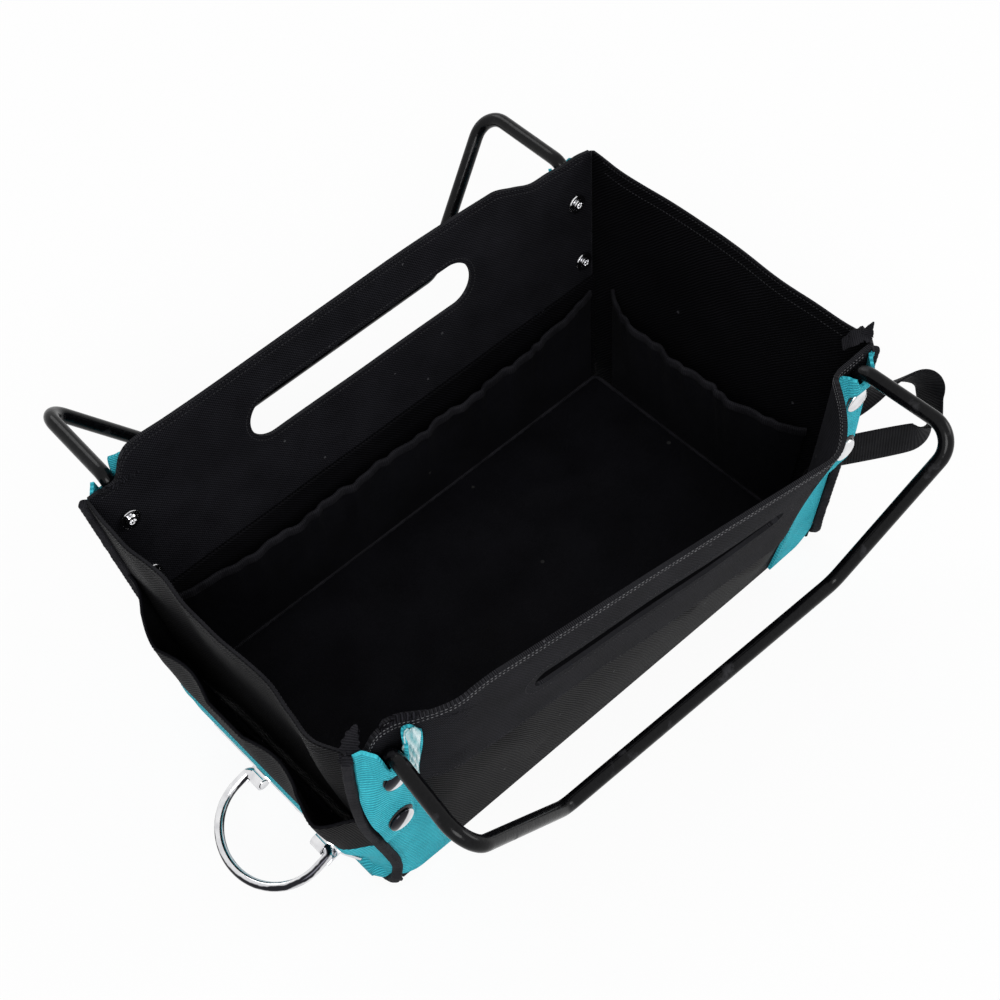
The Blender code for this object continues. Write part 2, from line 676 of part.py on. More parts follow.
def make_ladder_hooks():
    """Bent steel rods. Their legs are pressed flat, pierced and riveted inside the corner panels."""
    for side, name in ((-1, "front_ladder_hook"), (1, "back_ladder_hook")):
        route = add_leg_stations(hook_route(side), side)
        curve = tube_curve(name, route, HOOK_ROD_RADIUS, 4, parts)
        hook = curve_to_mesh(curve, parts, "black_rod")
        flatten_legs(hook, side)
        shade_round(hook)
        for end in (-1, 1):
            for level in (RIVET_LOWER_LEVEL, RIVET_UPPER_LEVEL):
                cut(hook, rivet_hole_cutter(name, side, end, level))


def profile_mesh(name, profile):
    """An open outline in the XZ plane, top to bottom, for a Screw modifier."""
    shell = bmesh.new()
    corners = [shell.verts.new((radius, 0, height)) for radius, height in profile]
    for before, after in zip(corners, corners[1:]):
        shell.edges.new((before, after))
    mesh = bpy.data.meshes.new(name)
    shell.to_mesh(mesh)
    shell.free()
    return mesh


def turned(name, mesh, centre, direction, finish, steps=ROUND_STEPS):
    """A turned piece about its local Z, set along direction."""
    made = bpy.data.objects.new(name, mesh)
    parts.objects.link(made)
    if not mesh.materials:
        mesh.materials.append(make_finish(finish))
    made.matrix_world = Matrix.Translation(centre) @ direction.to_track_quat("Z", "Y").to_matrix().to_4x4()
    add_modifier(
        made, "SCREW", steps=steps, render_steps=steps, use_merge_vertices=True,
        merge_threshold=GAP / 10, use_smooth_shade=True,
    )
    return made


def rivet_profile():
    """Domed head outside, shank through every layer, flared end over the washer inside.
    Height 0 is the underside of the head."""
    dome = []
    for step in range(4):
        angle = math.pi / 2 * step / 4
        height = RIVET_HEAD_RIM + (RIVET_HEAD_HEIGHT - RIVET_HEAD_RIM) * math.cos(angle)
        dome.append((RIVET_HEAD_RADIUS * math.sin(angle), height))
    washer_face = HANDLE_INSIDE - 2 * GAP - WASHER_THICKNESS - RIVET_HEAD_OFFSET
    return dome + [
        (RIVET_HEAD_RADIUS, RIVET_HEAD_RIM),
        (RIVET_HEAD_RADIUS, 0),
        (RIVET_SHANK_RADIUS, 0),
        (RIVET_SHANK_RADIUS, washer_face),
        (RIVET_FLARE_RADIUS, washer_face),
        (RIVET_SHANK_RADIUS, washer_face - RIVET_FLARE_HEIGHT),
        (0, washer_face - RIVET_FLARE_HEIGHT),
    ]


def washer_profile():
    """A flat ring with a raised rim, hole first. Height 0 is the face against the cloth."""
    hole = RIVET_SHANK_RADIUS + RIVET_HOLE_CLEARANCE
    rim = WASHER_RADIUS - WASHER_RIM_HEIGHT
    return [
        (hole, -WASHER_THICKNESS),
        (hole, 0),
        (WASHER_RADIUS, 0),
        (WASHER_RADIUS, -WASHER_THICKNESS + WASHER_RIM_HEIGHT),
        (rim, -WASHER_THICKNESS),
        (hole, -WASHER_THICKNESS),
    ]


def make_hook_rivets():
    """Two rivets and two washers at each corner, through panel, leg and corner panel."""
    rivet_mesh = profile_mesh("hook_rivet_profile", rivet_profile())
    washer_mesh = profile_mesh("rivet_washer_profile", washer_profile())
    for side, side_name in ((-1, "front"), (1, "back")):
        for end, end_name in ((-1, "left"), (1, "right")):
            for level, level_name in ((RIVET_LOWER_LEVEL, "lower"), (RIVET_UPPER_LEVEL, "upper")):
                place = side_name + "_" + end_name + "_" + level_name
                normal = long_wall_normal(side)
                head = rivet_seat(side, end, level, RIVET_HEAD_OFFSET)
                washer = rivet_seat(side, end, level, HANDLE_INSIDE - GAP)
                turned("hook_rivet_" + place, rivet_mesh, head, normal, "chrome")
                turned("rivet_washer_" + place, washer_mesh, washer, normal, "chrome")


def rivet_seat(side, end, level, offset):
    """A point on the rivet's axis, which runs square to the wall."""
    centre = on_long_wall(side, end * HOOK_HALF_SPAN, level, HOOK_OFFSET)
    return centre + long_wall_normal(side) * (offset - HOOK_OFFSET)


def binding_place(end, side, level, bow):
    """Beside the corner seam, just outside the end wall's edge."""
    point = on_end_wall(end, 0, level, BINDING_END_OFFSET)
    swell = bow * math.sin(math.pi * level / WALL_HEIGHT)
    return Vector((
        point.x + end * swell, side * (half_width(level) + BINDING_SIDE_OFFSET), point.z,
    ))


def make_end_bindings():
    """Rounded tape bindings: down one corner seam, under the end and up the other."""
    for end, name in ((-1, "left_end_binding"), (1, "right_end_binding")):
        foot_level = BINDING_RADIUS + GAP
        foot_x = on_end_wall(end, 0, foot_level, WALL_OUTSIDE + GAP + BINDING_RADIUS).x
        levels = spread(BINDING_TOP_LEVEL, 2 * BINDING_BEND_RADIUS, 6)
        runs = []
        for side in (-1, 1):
            down = [binding_place(end, side, level, BINDING_BOW) for level in levels]
            corner = binding_place(end, side, foot_level, 0)
            corner.x = foot_x
            corner.z = foot_level
            runs.append((down, corner))
        turn = rounded_path(
            [runs[0][0][-1], runs[0][1], runs[1][1], runs[1][0][-1]],
            [BINDING_BEND_RADIUS, BINDING_BEND_RADIUS],
        )
        route = runs[0][0][:-1] + turn + runs[1][0][:-1][::-1]
        tube_curve(name, route, BINDING_RADIUS, 2, parts, "black_binding")


def make_floor_seam():
    """The taped seam where the walls meet the floor, inside."""
    height = FLOOR_TOP + GAP + FLOOR_SEAM_RADIUS
    inset = GAP + FLOOR_SEAM_RADIUS
    outline = outline_points(
        half_length(0) - inset, half_width(0) - inset, BASE_CORNER_RADIUS, 3
    )
    route = [Vector((point.x, point.y, height)) for point in outline]
    tube_curve("floor_seam_binding", route, FLOOR_SEAM_RADIUS, 1, parts, "black_binding", closed=True)


def pocket_swell(share):
    """0 at the sewn sides, 1 in the middle."""
    return 1 - share ** 4


def make_inner_pockets():
    """Gathered pockets inside the back wall and the right end, open at the top."""
    bottom = INNER_POCKET_BOTTOM_LEVEL

    def back_place(share, level):
        reach = half_length(level) - INNER_POCKET_MARGIN
        rise = (level - bottom) / (BACK_POCKET_TOP_LEVEL - bottom)
        swell = POCKET_FOOT_GAP + BACK_POCKET_BULGE * rise * pocket_swell(share)
        return on_long_wall(1, share * reach, level, -GAP - INNER_POCKET_THICKNESS - swell)

    cloth_sheet(
        "back_inner_pocket", back_place, spread(-1, 1, 14), spread(bottom, BACK_POCKET_TOP_LEVEL, 3),
        long_wall_normal(1), INNER_POCKET_THICKNESS, "black_cloth",
    )

    def right_place(share, level):
        reach = half_width(level) - INNER_POCKET_MARGIN - BACK_POCKET_BULGE
        rise = (level - bottom) / (RIGHT_POCKET_TOP_LEVEL - bottom)
        swell = POCKET_FOOT_GAP + RIGHT_POCKET_BULGE * rise * pocket_swell(share)
        return on_end_wall(1, share * reach, level, -GAP - INNER_POCKET_THICKNESS - swell)

    cloth_sheet(
        "right_inner_pocket", right_place, spread(-1, 1, 12), spread(bottom, RIGHT_POCKET_TOP_LEVEL, 3),
        end_wall_normal(1), INNER_POCKET_THICKNESS, "black_cloth",
    )


def end_pocket_bulge(level):
    """How far the pocket stands off the end wall in its middle: out to the ridge, back a little to
    the seam, and out again to the gaping lip."""
    stations = (
        (END_POCKET_BOTTOM_LEVEL, 0),
        (END_POCKET_RIDGE_LEVEL, END_POCKET_RIDGE_BULGE),
        (END_POCKET_SEAM_LEVEL, END_POCKET_SEAM_BULGE),
        (END_POCKET_LIP_LEVEL, END_POCKET_LIP_BULGE),
    )
    for (low, low_bulge), (high, high_bulge) in zip(stations, stations[1:]):
        if level <= high:
            return share_between(low_bulge, high_bulge, (level - low) / (high - low))
    return END_POCKET_LIP_BULGE


def end_pocket_place(share, level):
    plateau = END_POCKET_FRONT_SHARE if share < 0 else END_POCKET_REAR_SHARE
    flat = 1 - smooth_share(abs(share), plateau, 1)
    reach = half_width(level) + END_POCKET_LAP
    offset = END_POCKET_OFFSET + end_pocket_bulge(level) * flat
    return on_end_wall(-1, share * reach, level, offset)


def make_end_pocket():
    """Coloured lower panel and black upper band of the gaping pocket on the left end."""
    across = spread(-1, -END_POCKET_FRONT_SHARE, 5) + spread(END_POCKET_REAR_SHARE, 1, 6)
    seam = END_POCKET_SEAM_LEVEL
    lower = cloth_sheet(
        "end_pocket_panel", end_pocket_place, across,
        [END_POCKET_BOTTOM_LEVEL, END_POCKET_RIDGE_LEVEL, seam - GAP],
        end_wall_normal(-1), END_POCKET_THICKNESS, "teal_cloth",
    )
    cloth_sheet(
        "end_pocket_band", end_pocket_place, across, spread(seam, END_POCKET_LIP_LEVEL, 2),
        end_wall_normal(-1), END_POCKET_THICKNESS, "black_binding",
    )
    return lower


def plate_frame():
    """Axes of the hammer loop's plate: along Y, up the pocket's slope, and outwards. The origin is on
    the pocket's outer face at the ridge."""
    low = on_end_wall(-1, 0, END_POCKET_BOTTOM_LEVEL, END_POCKET_OFFSET)
    ridge = on_end_wall(-1, 0, END_POCKET_RIDGE_LEVEL, END_POCKET_OFFSET + END_POCKET_RIDGE_BULGE)
    up = (ridge - low).normalized()
    along = Vector((0, 1, 0))
    outward = up.cross(along)
    if outward.x > 0:
        outward.negate()
    origin = ridge + outward * END_POCKET_THICKNESS
    return origin, along, up, outward


def in_plate_frame(along_y, rise, stand_off):
    origin, along, up, outward = plate_frame()
    return origin + along * along_y + up * rise + outward * stand_off


def loop_axis_point(along_y):
    """The hinge axis: the rolled knuckles stand on the plate's upper edge."""
    return in_plate_frame(along_y, -KNUCKLE_WALL - LOOP_WIRE_RADIUS, HINGE_STAND_OFF)


def plate_matrix(centre):
    """Local X along the hinge, local Y down the plate and local Z outwards."""
    origin, along, up, outward = plate_frame()
    down = outward.cross(along)
    return Matrix.Translation(centre) @ Matrix((along, down, outward)).transposed().to_4x4()


def make_loop_plate(pocket_panel):
    """Stamped plate with two rolled knuckles and, under each leg of the loop, a stop."""
    front_end = LOOP_CENTRE - LOOP_HALF_WIDTH - PLATE_CORNER_RADIUS
    length = PLATE_REAR_REACH - front_end
    middle = (PLATE_REAR_REACH + front_end) / 2
    top = -2 * KNUCKLE_WALL - 2 * LOOP_WIRE_RADIUS
    seat = GAP + PLATE_THICKNESS / 2
    outline = outline_points(length / 2, PLATE_HEIGHT / 2, PLATE_CORNER_RADIUS)
    plate_curve = plate_from_outline("hammer_loop_plate", outline, PLATE_THICKNESS, parts)
    plate_curve.matrix_world = plate_matrix(in_plate_frame(middle, top / 2 - PLATE_HEIGHT / 2, seat))
    plate = curve_to_mesh(plate_curve, parts, "chrome")
    bore = LOOP_WIRE_RADIUS + LOOP_RUNNING_GAP
    for sign, name in ((-1, "front"), (1, "rear")):
        leg = LOOP_CENTRE + sign * LOOP_HALF_WIDTH
        middle_y = LOOP_CENTRE + sign * KNUCKLE_CENTRE
        knuckle_middle = loop_axis_point(middle_y)
        knuckle = cylinder_cutter(
            "knuckle_" + name, knuckle_middle, Vector((0, 1, 0)), bore + KNUCKLE_WALL, KNUCKLE_LENGTH
        )
        web = box_cutter(
            "knuckle_web_" + name, KNUCKLE_LENGTH, PLATE_HEIGHT / 2, PLATE_THICKNESS,
            plate_matrix(in_plate_frame(middle_y, -PLATE_HEIGHT / 4, seat)),
        )
        reach, place = stop_place(leg)
        stop = box_cutter("stop_" + name, STOP_WIDTH, STOP_THICKNESS, reach, place)
        for lump in (web, knuckle, stop):
            add_modifier(plate, "BOOLEAN", operation="UNION", object=lump, solver="EXACT")
        cut(plate, cylinder_cutter(
            "knuckle_bore_" + name, knuckle_middle, Vector((0, 1, 0)), bore,
            KNUCKLE_LENGTH + 2 * GAP,
        ))
    rivet_mesh = profile_mesh("plate_rivet_profile", plate_rivet_profile())
    high = top / 2 - PLATE_RIVET_INSET
    low = top / 2 - PLATE_HEIGHT + PLATE_RIVET_INSET
    front = front_end + PLATE_RIVET_INSET
    rear = PLATE_REAR_REACH - PLATE_RIVET_INSET
    outward = plate_frame()[3]
    for name, along_y, rise in (
        ("front_low", front, low), ("middle_high", LOOP_CENTRE, high),
        ("rear_low", rear, low), ("rear_high", rear, high),
    ):
        place = in_plate_frame(along_y, rise, GAP + PLATE_THICKNESS + GAP)
        for owner in (plate, pocket_panel):
            cut(owner, cylinder_cutter(
                "plate_rivet_hole_" + name, place, outward,
                PLATE_RIVET_RADIUS + RIVET_HOLE_CLEARANCE, 2 * CUT_OVERRUN,
            ))
        turned("plate_rivet_" + name, rivet_mesh, place, outward, "chrome")


def box_cutter(name, size_x, size_y, size_z, place):
    mesh = bpy.data.meshes.new(name)
    shell = bmesh.new()
    bmesh.ops.create_cube(shell, size=1)
    bmesh.ops.scale(shell, vec=(size_x, size_y, size_z), verts=shell.verts)
    shell.to_mesh(mesh)
    shell.free()
    made = hide_cutter(add_object(name, mesh, cutters))
    made.matrix_world = place
    return made


def loop_outward():
    return Vector((-math.cos(LOOP_REST_ANGLE), 0, -math.sin(LOOP_REST_ANGLE)))


def stop_place(leg):
    """Length and place of a tab that stands on the plate under a leg of the loop, with its upper face
    along the resting leg."""
    outward = loop_outward()
    along = Vector((0, 1, 0))
    below = outward.cross(along)
    if below.z > 0:
        below.negate()
    plate_outward = plate_frame()[3]
    drop = LOOP_WIRE_RADIUS + GAP + STOP_THICKNESS / 2
    root = HINGE_STAND_OFF - GAP - PLATE_THICKNESS / 2 + drop * below.dot(plate_outward)
    root /= outward.dot(plate_outward)
    reach = LOOP_BEND_RADIUS + LOOP_WIRE_RADIUS
    centre = loop_axis_point(leg) + below * drop + outward * (reach - root) / 2
    third = along.cross(below)
    turn = Matrix((along, below, third)).transposed().to_4x4()
    return reach + root, Matrix.Translation(centre) @ turn


def plate_rivet_profile():
    """A small domed rivet through the plate and the pocket's cloth, clenched inside."""
    dome = []
    for step in range(3):
        angle = math.pi / 2 * step / 3
        dome.append((PLATE_RIVET_HEAD_RADIUS * math.sin(angle), PLATE_RIVET_HEAD_HEIGHT * math.cos(angle)))
    clench = -(3 * GAP + PLATE_THICKNESS + END_POCKET_THICKNESS)
    return dome + [
        (PLATE_RIVET_HEAD_RADIUS, 0),
        (PLATE_RIVET_RADIUS, 0),
        (PLATE_RIVET_RADIUS, clench),
        (PLATE_RIVET_HEAD_RADIUS, clench),
        (PLATE_RIVET_RADIUS, clench - PLATE_RIVET_HEAD_HEIGHT),
        (0, clench - PLATE_RIVET_HEAD_HEIGHT),
    ]


def make_hammer_loop():
    """Bent wire loop. Its two pins point inwards through the knuckles, and it turns about them."""
    outward = loop_outward()
    axis = loop_axis_point(0)
    local = []
    for sign in (-1, 1):
        leg = LOOP_CENTRE + sign * LOOP_HALF_WIDTH
        pin = Vector((0, LOOP_CENTRE + sign * LOOP_PIN_END, 0))
        root = Vector((0, leg, 0))
        shoulder = root + outward * LOOP_STRAIGHT
        local.append(rounded_path([pin, root, shoulder], [LOOP_BEND_RADIUS]))
    arc = []
    for step in range(1, 24):
        angle = math.pi * step / 24
        across = LOOP_CENTRE - LOOP_HALF_WIDTH * math.cos(angle)
        arc.append(Vector((0, across, 0)) + outward * (LOOP_STRAIGHT + LOOP_DEPTH * math.sin(angle)))
    origin = Vector((axis.x, 0, axis.z))
    route = [origin + point for point in local[0] + arc + local[1][::-1]]
    hinge = bpy.data.objects.new("hammer_loop_hinge", None)
    parts.objects.link(hinge)
    hinge.location = Vector((axis.x, LOOP_CENTRE, axis.z))
    loop = tube_curve(
        "hammer_loop", [point - hinge.location for point in route], LOOP_WIRE_RADIUS, 3, parts, "chrome"
    )
    loop.parent = hinge


def strip(name, centres, widths, thickness, finish):
    """Flat tape of even thickness along centres. widths holds the width vector at each of them."""
    shell = bmesh.new()
    rings = []
    for index, (centre, width) in enumerate(zip(centres, widths)):
        before = centres[max(index - 1, 0)]
        after = centres[min(index + 1, len(centres) - 1)]
        face = (after - before).normalized().cross(width.normalized()).normalized()
        half = width / 2
        lift = face * thickness / 2
        corners = (half + lift, -half + lift, -half - lift, half - lift)
        rings.append([shell.verts.new(centre + corner) for corner in corners])
    for first, second in zip(rings, rings[1:]):
        for k in range(4):
            shell.faces.new((first[k], first[(k + 1) % 4], second[(k + 1) % 4], second[k]))
    shell.faces.new(rings[0][::-1])
    shell.faces.new(rings[-1])
    bmesh.ops.recalc_face_normals(shell, faces=shell.faces)
    mesh = bpy.data.meshes.new(name)
    shell.to_mesh(mesh)
    shell.free()
    return add_object(name, mesh, parts, finish)


def make_webbing_loop():
    """Webbing sewn to the right end beside its front corner at two heights. It leans towards the
    front and turns a quarter twist on the way back."""
    roots = []
    for level, inset in (
        (WEBBING_LOWER_LEVEL, WEBBING_LOWER_INSET),
        (WEBBING_UPPER_LEVEL, WEBBING_UPPER_INSET),
    ):
        roots.append(on_end_wall(1, inset - half_width(level), level, WALL_OUTSIDE + GAP))
    lower, upper = roots
    out = Vector((1, 0, 0))
    front = Vector((0, -1, 0))
    root = end_wall_normal(1) * WEBBING_ROOT_RUN
    corners = [
        lower,
        lower + root,
        lower + out * WEBBING_LOWER_REACH + front * WEBBING_LOWER_DRIFT,
        upper + out * WEBBING_UPPER_REACH + front * WEBBING_UPPER_DRIFT,
        upper + root,
        upper,
    ]
    bends = [WEBBING_ROOT_RADIUS, WEBBING_BEND_RADIUS]
    bend = rounded_path(corners, bends + bends[::-1])
    centres = []
    for first, last in zip(bend, bend[1:]):
        pieces = max(1, round((last - first).length / (WEBBING_WIDTH / 4)))
        centres += [first.lerp(last, step / pieces) for step in range(pieces)]
    centres.append(bend[-1])
    travelled = [0]
    for first, last in zip(centres, centres[1:]):
        travelled.append(travelled[-1] + (last - first).length)
    widths = []
    for index, distance in enumerate(travelled):
        before = centres[max(index - 1, 0)]
        after = centres[min(index + 1, len(centres) - 1)]
        ahead = (after - before).normalized()
        turn = math.pi / 2 * smooth_share(distance, travelled[-1] / 3, travelled[-1])
        lean = Vector((0, 0, math.cos(turn))) + front * math.sin(turn)
        widths.append((lean - ahead * lean.dot(ahead)).normalized() * WEBBING_WIDTH)
    strip("webbing_loop", centres, widths, WEBBING_THICKNESS, "webbing")


clear_scene()
parts = new_collection("ladder_tool_bag")
cutters = new_collection("ladder_tool_bag_cutters")
make_base()
make_long_walls()
make_handle_panels()
make_end_walls()
make_corner_panels()
make_ladder_hooks()
make_hook_rivets()
make_end_bindings()
make_floor_seam()
make_inner_pockets()
make_loop_plate(make_end_pocket())
make_hammer_loop()
make_webbing_loop()
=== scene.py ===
"""Open-topped tool bag that hangs on a ladder by two bent steel rods.

Units are metres, +Z is up. +X runs along the bag towards the end with the webbing loop, and -Y is the
front. The file follows the bag as it is sewn and riveted together.
"""
import json
import math
import random

import bmesh
import bpy
from mathutils import Matrix, Vector, noise


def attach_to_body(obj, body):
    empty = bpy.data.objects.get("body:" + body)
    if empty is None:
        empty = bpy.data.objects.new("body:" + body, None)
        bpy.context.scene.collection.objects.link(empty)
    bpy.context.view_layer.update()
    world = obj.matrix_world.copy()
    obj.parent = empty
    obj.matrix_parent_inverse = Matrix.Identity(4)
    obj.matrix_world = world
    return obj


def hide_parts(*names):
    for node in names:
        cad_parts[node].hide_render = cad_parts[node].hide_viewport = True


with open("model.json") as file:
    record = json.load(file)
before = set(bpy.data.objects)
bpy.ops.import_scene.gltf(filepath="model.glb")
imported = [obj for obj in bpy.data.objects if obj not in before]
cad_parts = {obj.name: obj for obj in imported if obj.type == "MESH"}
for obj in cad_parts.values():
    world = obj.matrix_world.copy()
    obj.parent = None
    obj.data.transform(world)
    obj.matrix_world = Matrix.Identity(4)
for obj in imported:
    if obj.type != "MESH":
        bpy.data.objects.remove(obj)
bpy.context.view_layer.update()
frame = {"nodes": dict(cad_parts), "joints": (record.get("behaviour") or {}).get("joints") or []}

# Camera
# It looks down on the front left corner from the photograph's angle. Its place is worked out from the
# turn, height and roll about the middle of the bag.
CAMERA_TURN = math.radians(-37.5098)
CAMERA_HEIGHT = math.radians(52.5426)
CAMERA_ROLL = math.radians(-6.2814)
CAMERA_DISTANCE = 0.9795
CAMERA_AIM = Vector((0.0007, -0.0033, 0.1000))
CAMERA_LENS = 67.92
CAMERA_NEAR = 0.01

back_axis = Vector((
    math.sin(CAMERA_TURN) * math.cos(CAMERA_HEIGHT),
    -math.cos(CAMERA_TURN) * math.cos(CAMERA_HEIGHT),
    math.sin(CAMERA_HEIGHT),
))
level_axis = Vector((0, 0, 1)).cross(back_axis).normalized()
rising_axis = back_axis.cross(level_axis)
right_axis = math.cos(CAMERA_ROLL) * level_axis + math.sin(CAMERA_ROLL) * rising_axis
up_axis = math.cos(CAMERA_ROLL) * rising_axis - math.sin(CAMERA_ROLL) * level_axis
camera_data = bpy.data.cameras.new("camera")
camera_data.lens = CAMERA_LENS
camera_data.clip_start = CAMERA_NEAR
camera = bpy.data.objects.new("camera", camera_data)
camera.matrix_world = (
    Matrix.Translation(CAMERA_AIM + back_axis * CAMERA_DISTANCE)
    @ Matrix((right_axis, up_axis, back_axis)).transposed().to_4x4()
)
bpy.context.scene.collection.objects.link(camera)
bpy.context.scene.camera = camera

# Long walls
# Two walls of ribbed polyester. They lean outwards, and the front one bows between the hooks, most
# towards the right. Their upper edges are sewn behind the handle panels.
RIM_LENGTH = 0.340
RIM_WIDTH = 0.195
BASE_LENGTH = 0.303
BASE_WIDTH = 0.168
WALL_HEIGHT = 0.164
WALL_THICKNESS = 0.0020
GAP = 0.0003
HANDLE_THICKNESS = 0.0030
HANDLE_TOP_LEVEL = 0.180
HANDLE_BOTTOM_LEVEL = 0.070
HANDLE_INSIDE = WALL_THICKNESS + GAP
HANDLE_OUTSIDE = HANDLE_INSIDE + HANDLE_THICKNESS
SEAM_LAP = 0.010
LONG_LEAN = math.atan2((RIM_WIDTH - BASE_WIDTH) / 2, WALL_HEIGHT)
END_LEAN = math.atan2((RIM_LENGTH - BASE_LENGTH) / 2, WALL_HEIGHT)
HOOK_HALF_SPAN = 0.15446
BOW_DEPTH = 0.040
BOW_LEFT_SHARE = 0.36
BOW_EDGE = HOOK_HALF_SPAN - 0.0065
BOW_LEFT_RUN = 0.034
BOW_RIGHT_RUN = 0.056
FRONT_LAP_MIDDLE = 0.086
FRONT_LAP_SLOPE = -0.128
WAVE_DEPTH = 0.0009
WAVE_SIZE = 0.070
WAVE_EDGE = 0.118
WAVE_RUN = 0.020


def share_between(low, high, share):
    return low + (high - low) * share


def smooth_share(value, low, high):
    share = min(max((value - low) / (high - low), 0), 1)
    return share * share * (3 - 2 * share)


def curve_value(table, place):
    """A smooth curve through a table of (place, value) rows, flat beyond its ends."""
    if place <= table[0][0]:
        return table[0][1]
    if place >= table[-1][0]:
        return table[-1][1]
    index = next(i for i in range(1, len(table)) if place <= table[i][0])
    (x1, y1), (x2, y2) = table[index - 1], table[index]
    x0, y0 = table[max(index - 2, 0)]
    x3, y3 = table[min(index + 1, len(table) - 1)]
    run = x2 - x1
    start = (y2 - y0) / (x2 - x0) * run
    end = (y3 - y1) / (x3 - x1) * run
    t = (place - x1) / run
    bend = (2 * t ** 3 - 3 * t ** 2 + 1) * y1 + (t ** 3 - 2 * t ** 2 + t) * start
    return bend + (3 * t ** 2 - 2 * t ** 3) * y2 + (t ** 3 - t ** 2) * end


def spread(low, high, count):
    return [share_between(low, high, step / count) for step in range(count + 1)]


def half_length(level):
    return share_between(BASE_LENGTH, RIM_LENGTH, level / WALL_HEIGHT) / 2


def half_width(level):
    return share_between(BASE_WIDTH, RIM_WIDTH, level / WALL_HEIGHT) / 2


def ripple(place, size, seed):
    """Smooth noise of about -1 to 1 with lumps of the given size."""
    return noise.noise(Vector((place[0] / size, place[1] / size, seed))) * 1.6


def long_bow(side, along, level):
    """The front wall's bow, and a little slack in both long walls away from the hooks' legs."""
    calm = 1 - smooth_share(abs(along), WAVE_EDGE, WAVE_EDGE + WAVE_RUN)
    rise = smooth_share(level, 0, WALL_HEIGHT / 2)
    slack = WAVE_DEPTH * calm * rise * ripple((along, level), WAVE_SIZE, side + 4)
    if side > 0:
        return slack
    left_foot = BOW_LEFT_RUN - BOW_EDGE
    right_foot = BOW_EDGE - BOW_RIGHT_RUN
    swell = smooth_share(along, -BOW_EDGE, left_foot) * (1 - smooth_share(along, right_foot, BOW_EDGE))
    slope = min(max((along - left_foot) / (right_foot - left_foot), 0), 1)
    reach = BOW_DEPTH * share_between(BOW_LEFT_SHARE, 1, slope) * swell
    return slack + reach * level / HANDLE_TOP_LEVEL


def long_normal(side):
    return Vector((0, side * math.cos(LONG_LEAN), -math.sin(LONG_LEAN)))


def long_wall(side, along, level, offset):
    """A point off a long wall's inner face. Side -1 is the front, and the offset is outwards."""
    def face(a, b):
        flat = Vector((a, side * half_width(b), b))
        return flat + long_normal(side) * long_bow(side, a, b)

    run = face(along + GAP, level) - face(along - GAP, level)
    rise = face(along, level + GAP) - face(along, level - GAP)
    normal = run.cross(rise).normalized() * -side
    return face(along, level) + normal * offset


def front_lap_level(along):
    """The lower edge of the front handle panel, which was sewn on a slant."""
    return FRONT_LAP_MIDDLE + FRONT_LAP_SLOPE * along


class Wire:
    """A shader socket. Sums and products of wires add their Math nodes."""

    def __init__(self, finish, socket):
        self.finish = finish
        self.socket = socket

    def math(self, operation, first, second=0.0):
        return self.finish.node("ShaderNodeMath", {"operation": operation}, {0: first, 1: second})

    def other(self, name):
        return Wire(self.finish, self.socket.node.outputs[name])

    def __add__(self, number):
        return self.math("ADD", self, number)

    def __sub__(self, number):
        return self.math("SUBTRACT", self, number)

    def __rsub__(self, number):
        return self.math("SUBTRACT", number, self)

    def __mul__(self, number):
        return self.math("MULTIPLY", self, number)

    def __pow__(self, number):
        return self.math("POWER", self, number)

    __radd__ = __add__


class Finish:
    """One material. node() adds any node: its settings first, then the values of its sockets."""

    def __init__(self, name, constants):
        self.material = bpy.data.materials.new(name)
        self.material.use_nodes = True
        self.surface = self.material.node_tree.nodes["Principled BSDF"]
        for socket, value in constants.items():
            self.surface.inputs[socket].default_value = value

    def node(self, kind, settings, inputs, output=0):
        made = self.material.node_tree.nodes.new(kind)
        for key, value in settings.items():
            setattr(made, key, value)
        for key, value in inputs.items():
            self.set(made.inputs[key], value)
        return Wire(self, made.outputs[output])

    def set(self, socket, value):
        if isinstance(value, Wire):
            self.material.node_tree.links.new(value.socket, socket)
        else:
            socket.default_value = value

    def paint(self, socket, value):
        self.set(self.surface.inputs[socket], value)

    def place(self):
        """Position on the object, in metres."""
        return self.node("ShaderNodeTexCoord", {}, {}, "Object")

    def cut_axes(self):
        """Distance along and across the piece of cloth as it was cut, in metres."""
        flat = self.node("ShaderNodeUVMap", {"uv_map": "cut"}, {})
        along = self.node("ShaderNodeSeparateXYZ", {}, {"Vector": flat}, "X")
        return along, along.other("Y")

    def speckle(self, size, detail, low, high):
        """Noise with lumps of the given size, stretched to run from low to high."""
        lumps = self.node(
            "ShaderNodeTexNoise", {}, {"Vector": self.place(), "Scale": 1 / size, "Detail": detail}
        )
        return self.node(
            "ShaderNodeMapRange", {},
            {"Value": lumps, "From Min": 0.3, "From Max": 0.7, "To Min": low, "To Max": high},
        )

    def mix(self, factor, first, second):
        return self.node(
            "ShaderNodeMix", {"data_type": "RGBA"}, {"Factor": factor, "A": first, "B": second},
            "Result",
        )

    def bump(self, height, depth):
        """Relief of the given depth in metres."""
        return self.node("ShaderNodeBump", {}, {"Height": height, "Distance": depth, "Strength": 1.0})

    def wave(self, distance, pitch):
        """A sine of the given pitch, from -1 to 1."""
        turns = distance * (math.tau / pitch)
        return turns.math("SINE", turns)


def lint(finish, size, rarity):
    """Sparse light flecks of dust and thread ends."""
    cells = finish.node(
        "ShaderNodeTexVoronoi", {"feature": "F1"}, {"Vector": finish.place(), "Scale": 1 / size}
    )
    pick = finish.node("ShaderNodeSeparateColor", {}, {"Color": cells.other("Color")})
    near = cells.math("LESS_THAN", cells, 0.16)
    return near * cells.math("LESS_THAN", pick, rarity)


CLOTH_SHEEN = {"Specular IOR Level": 0.04, "Sheen Weight": 0.006, "Sheen Roughness": 0.4}
TWILL_PITCH = 0.0015


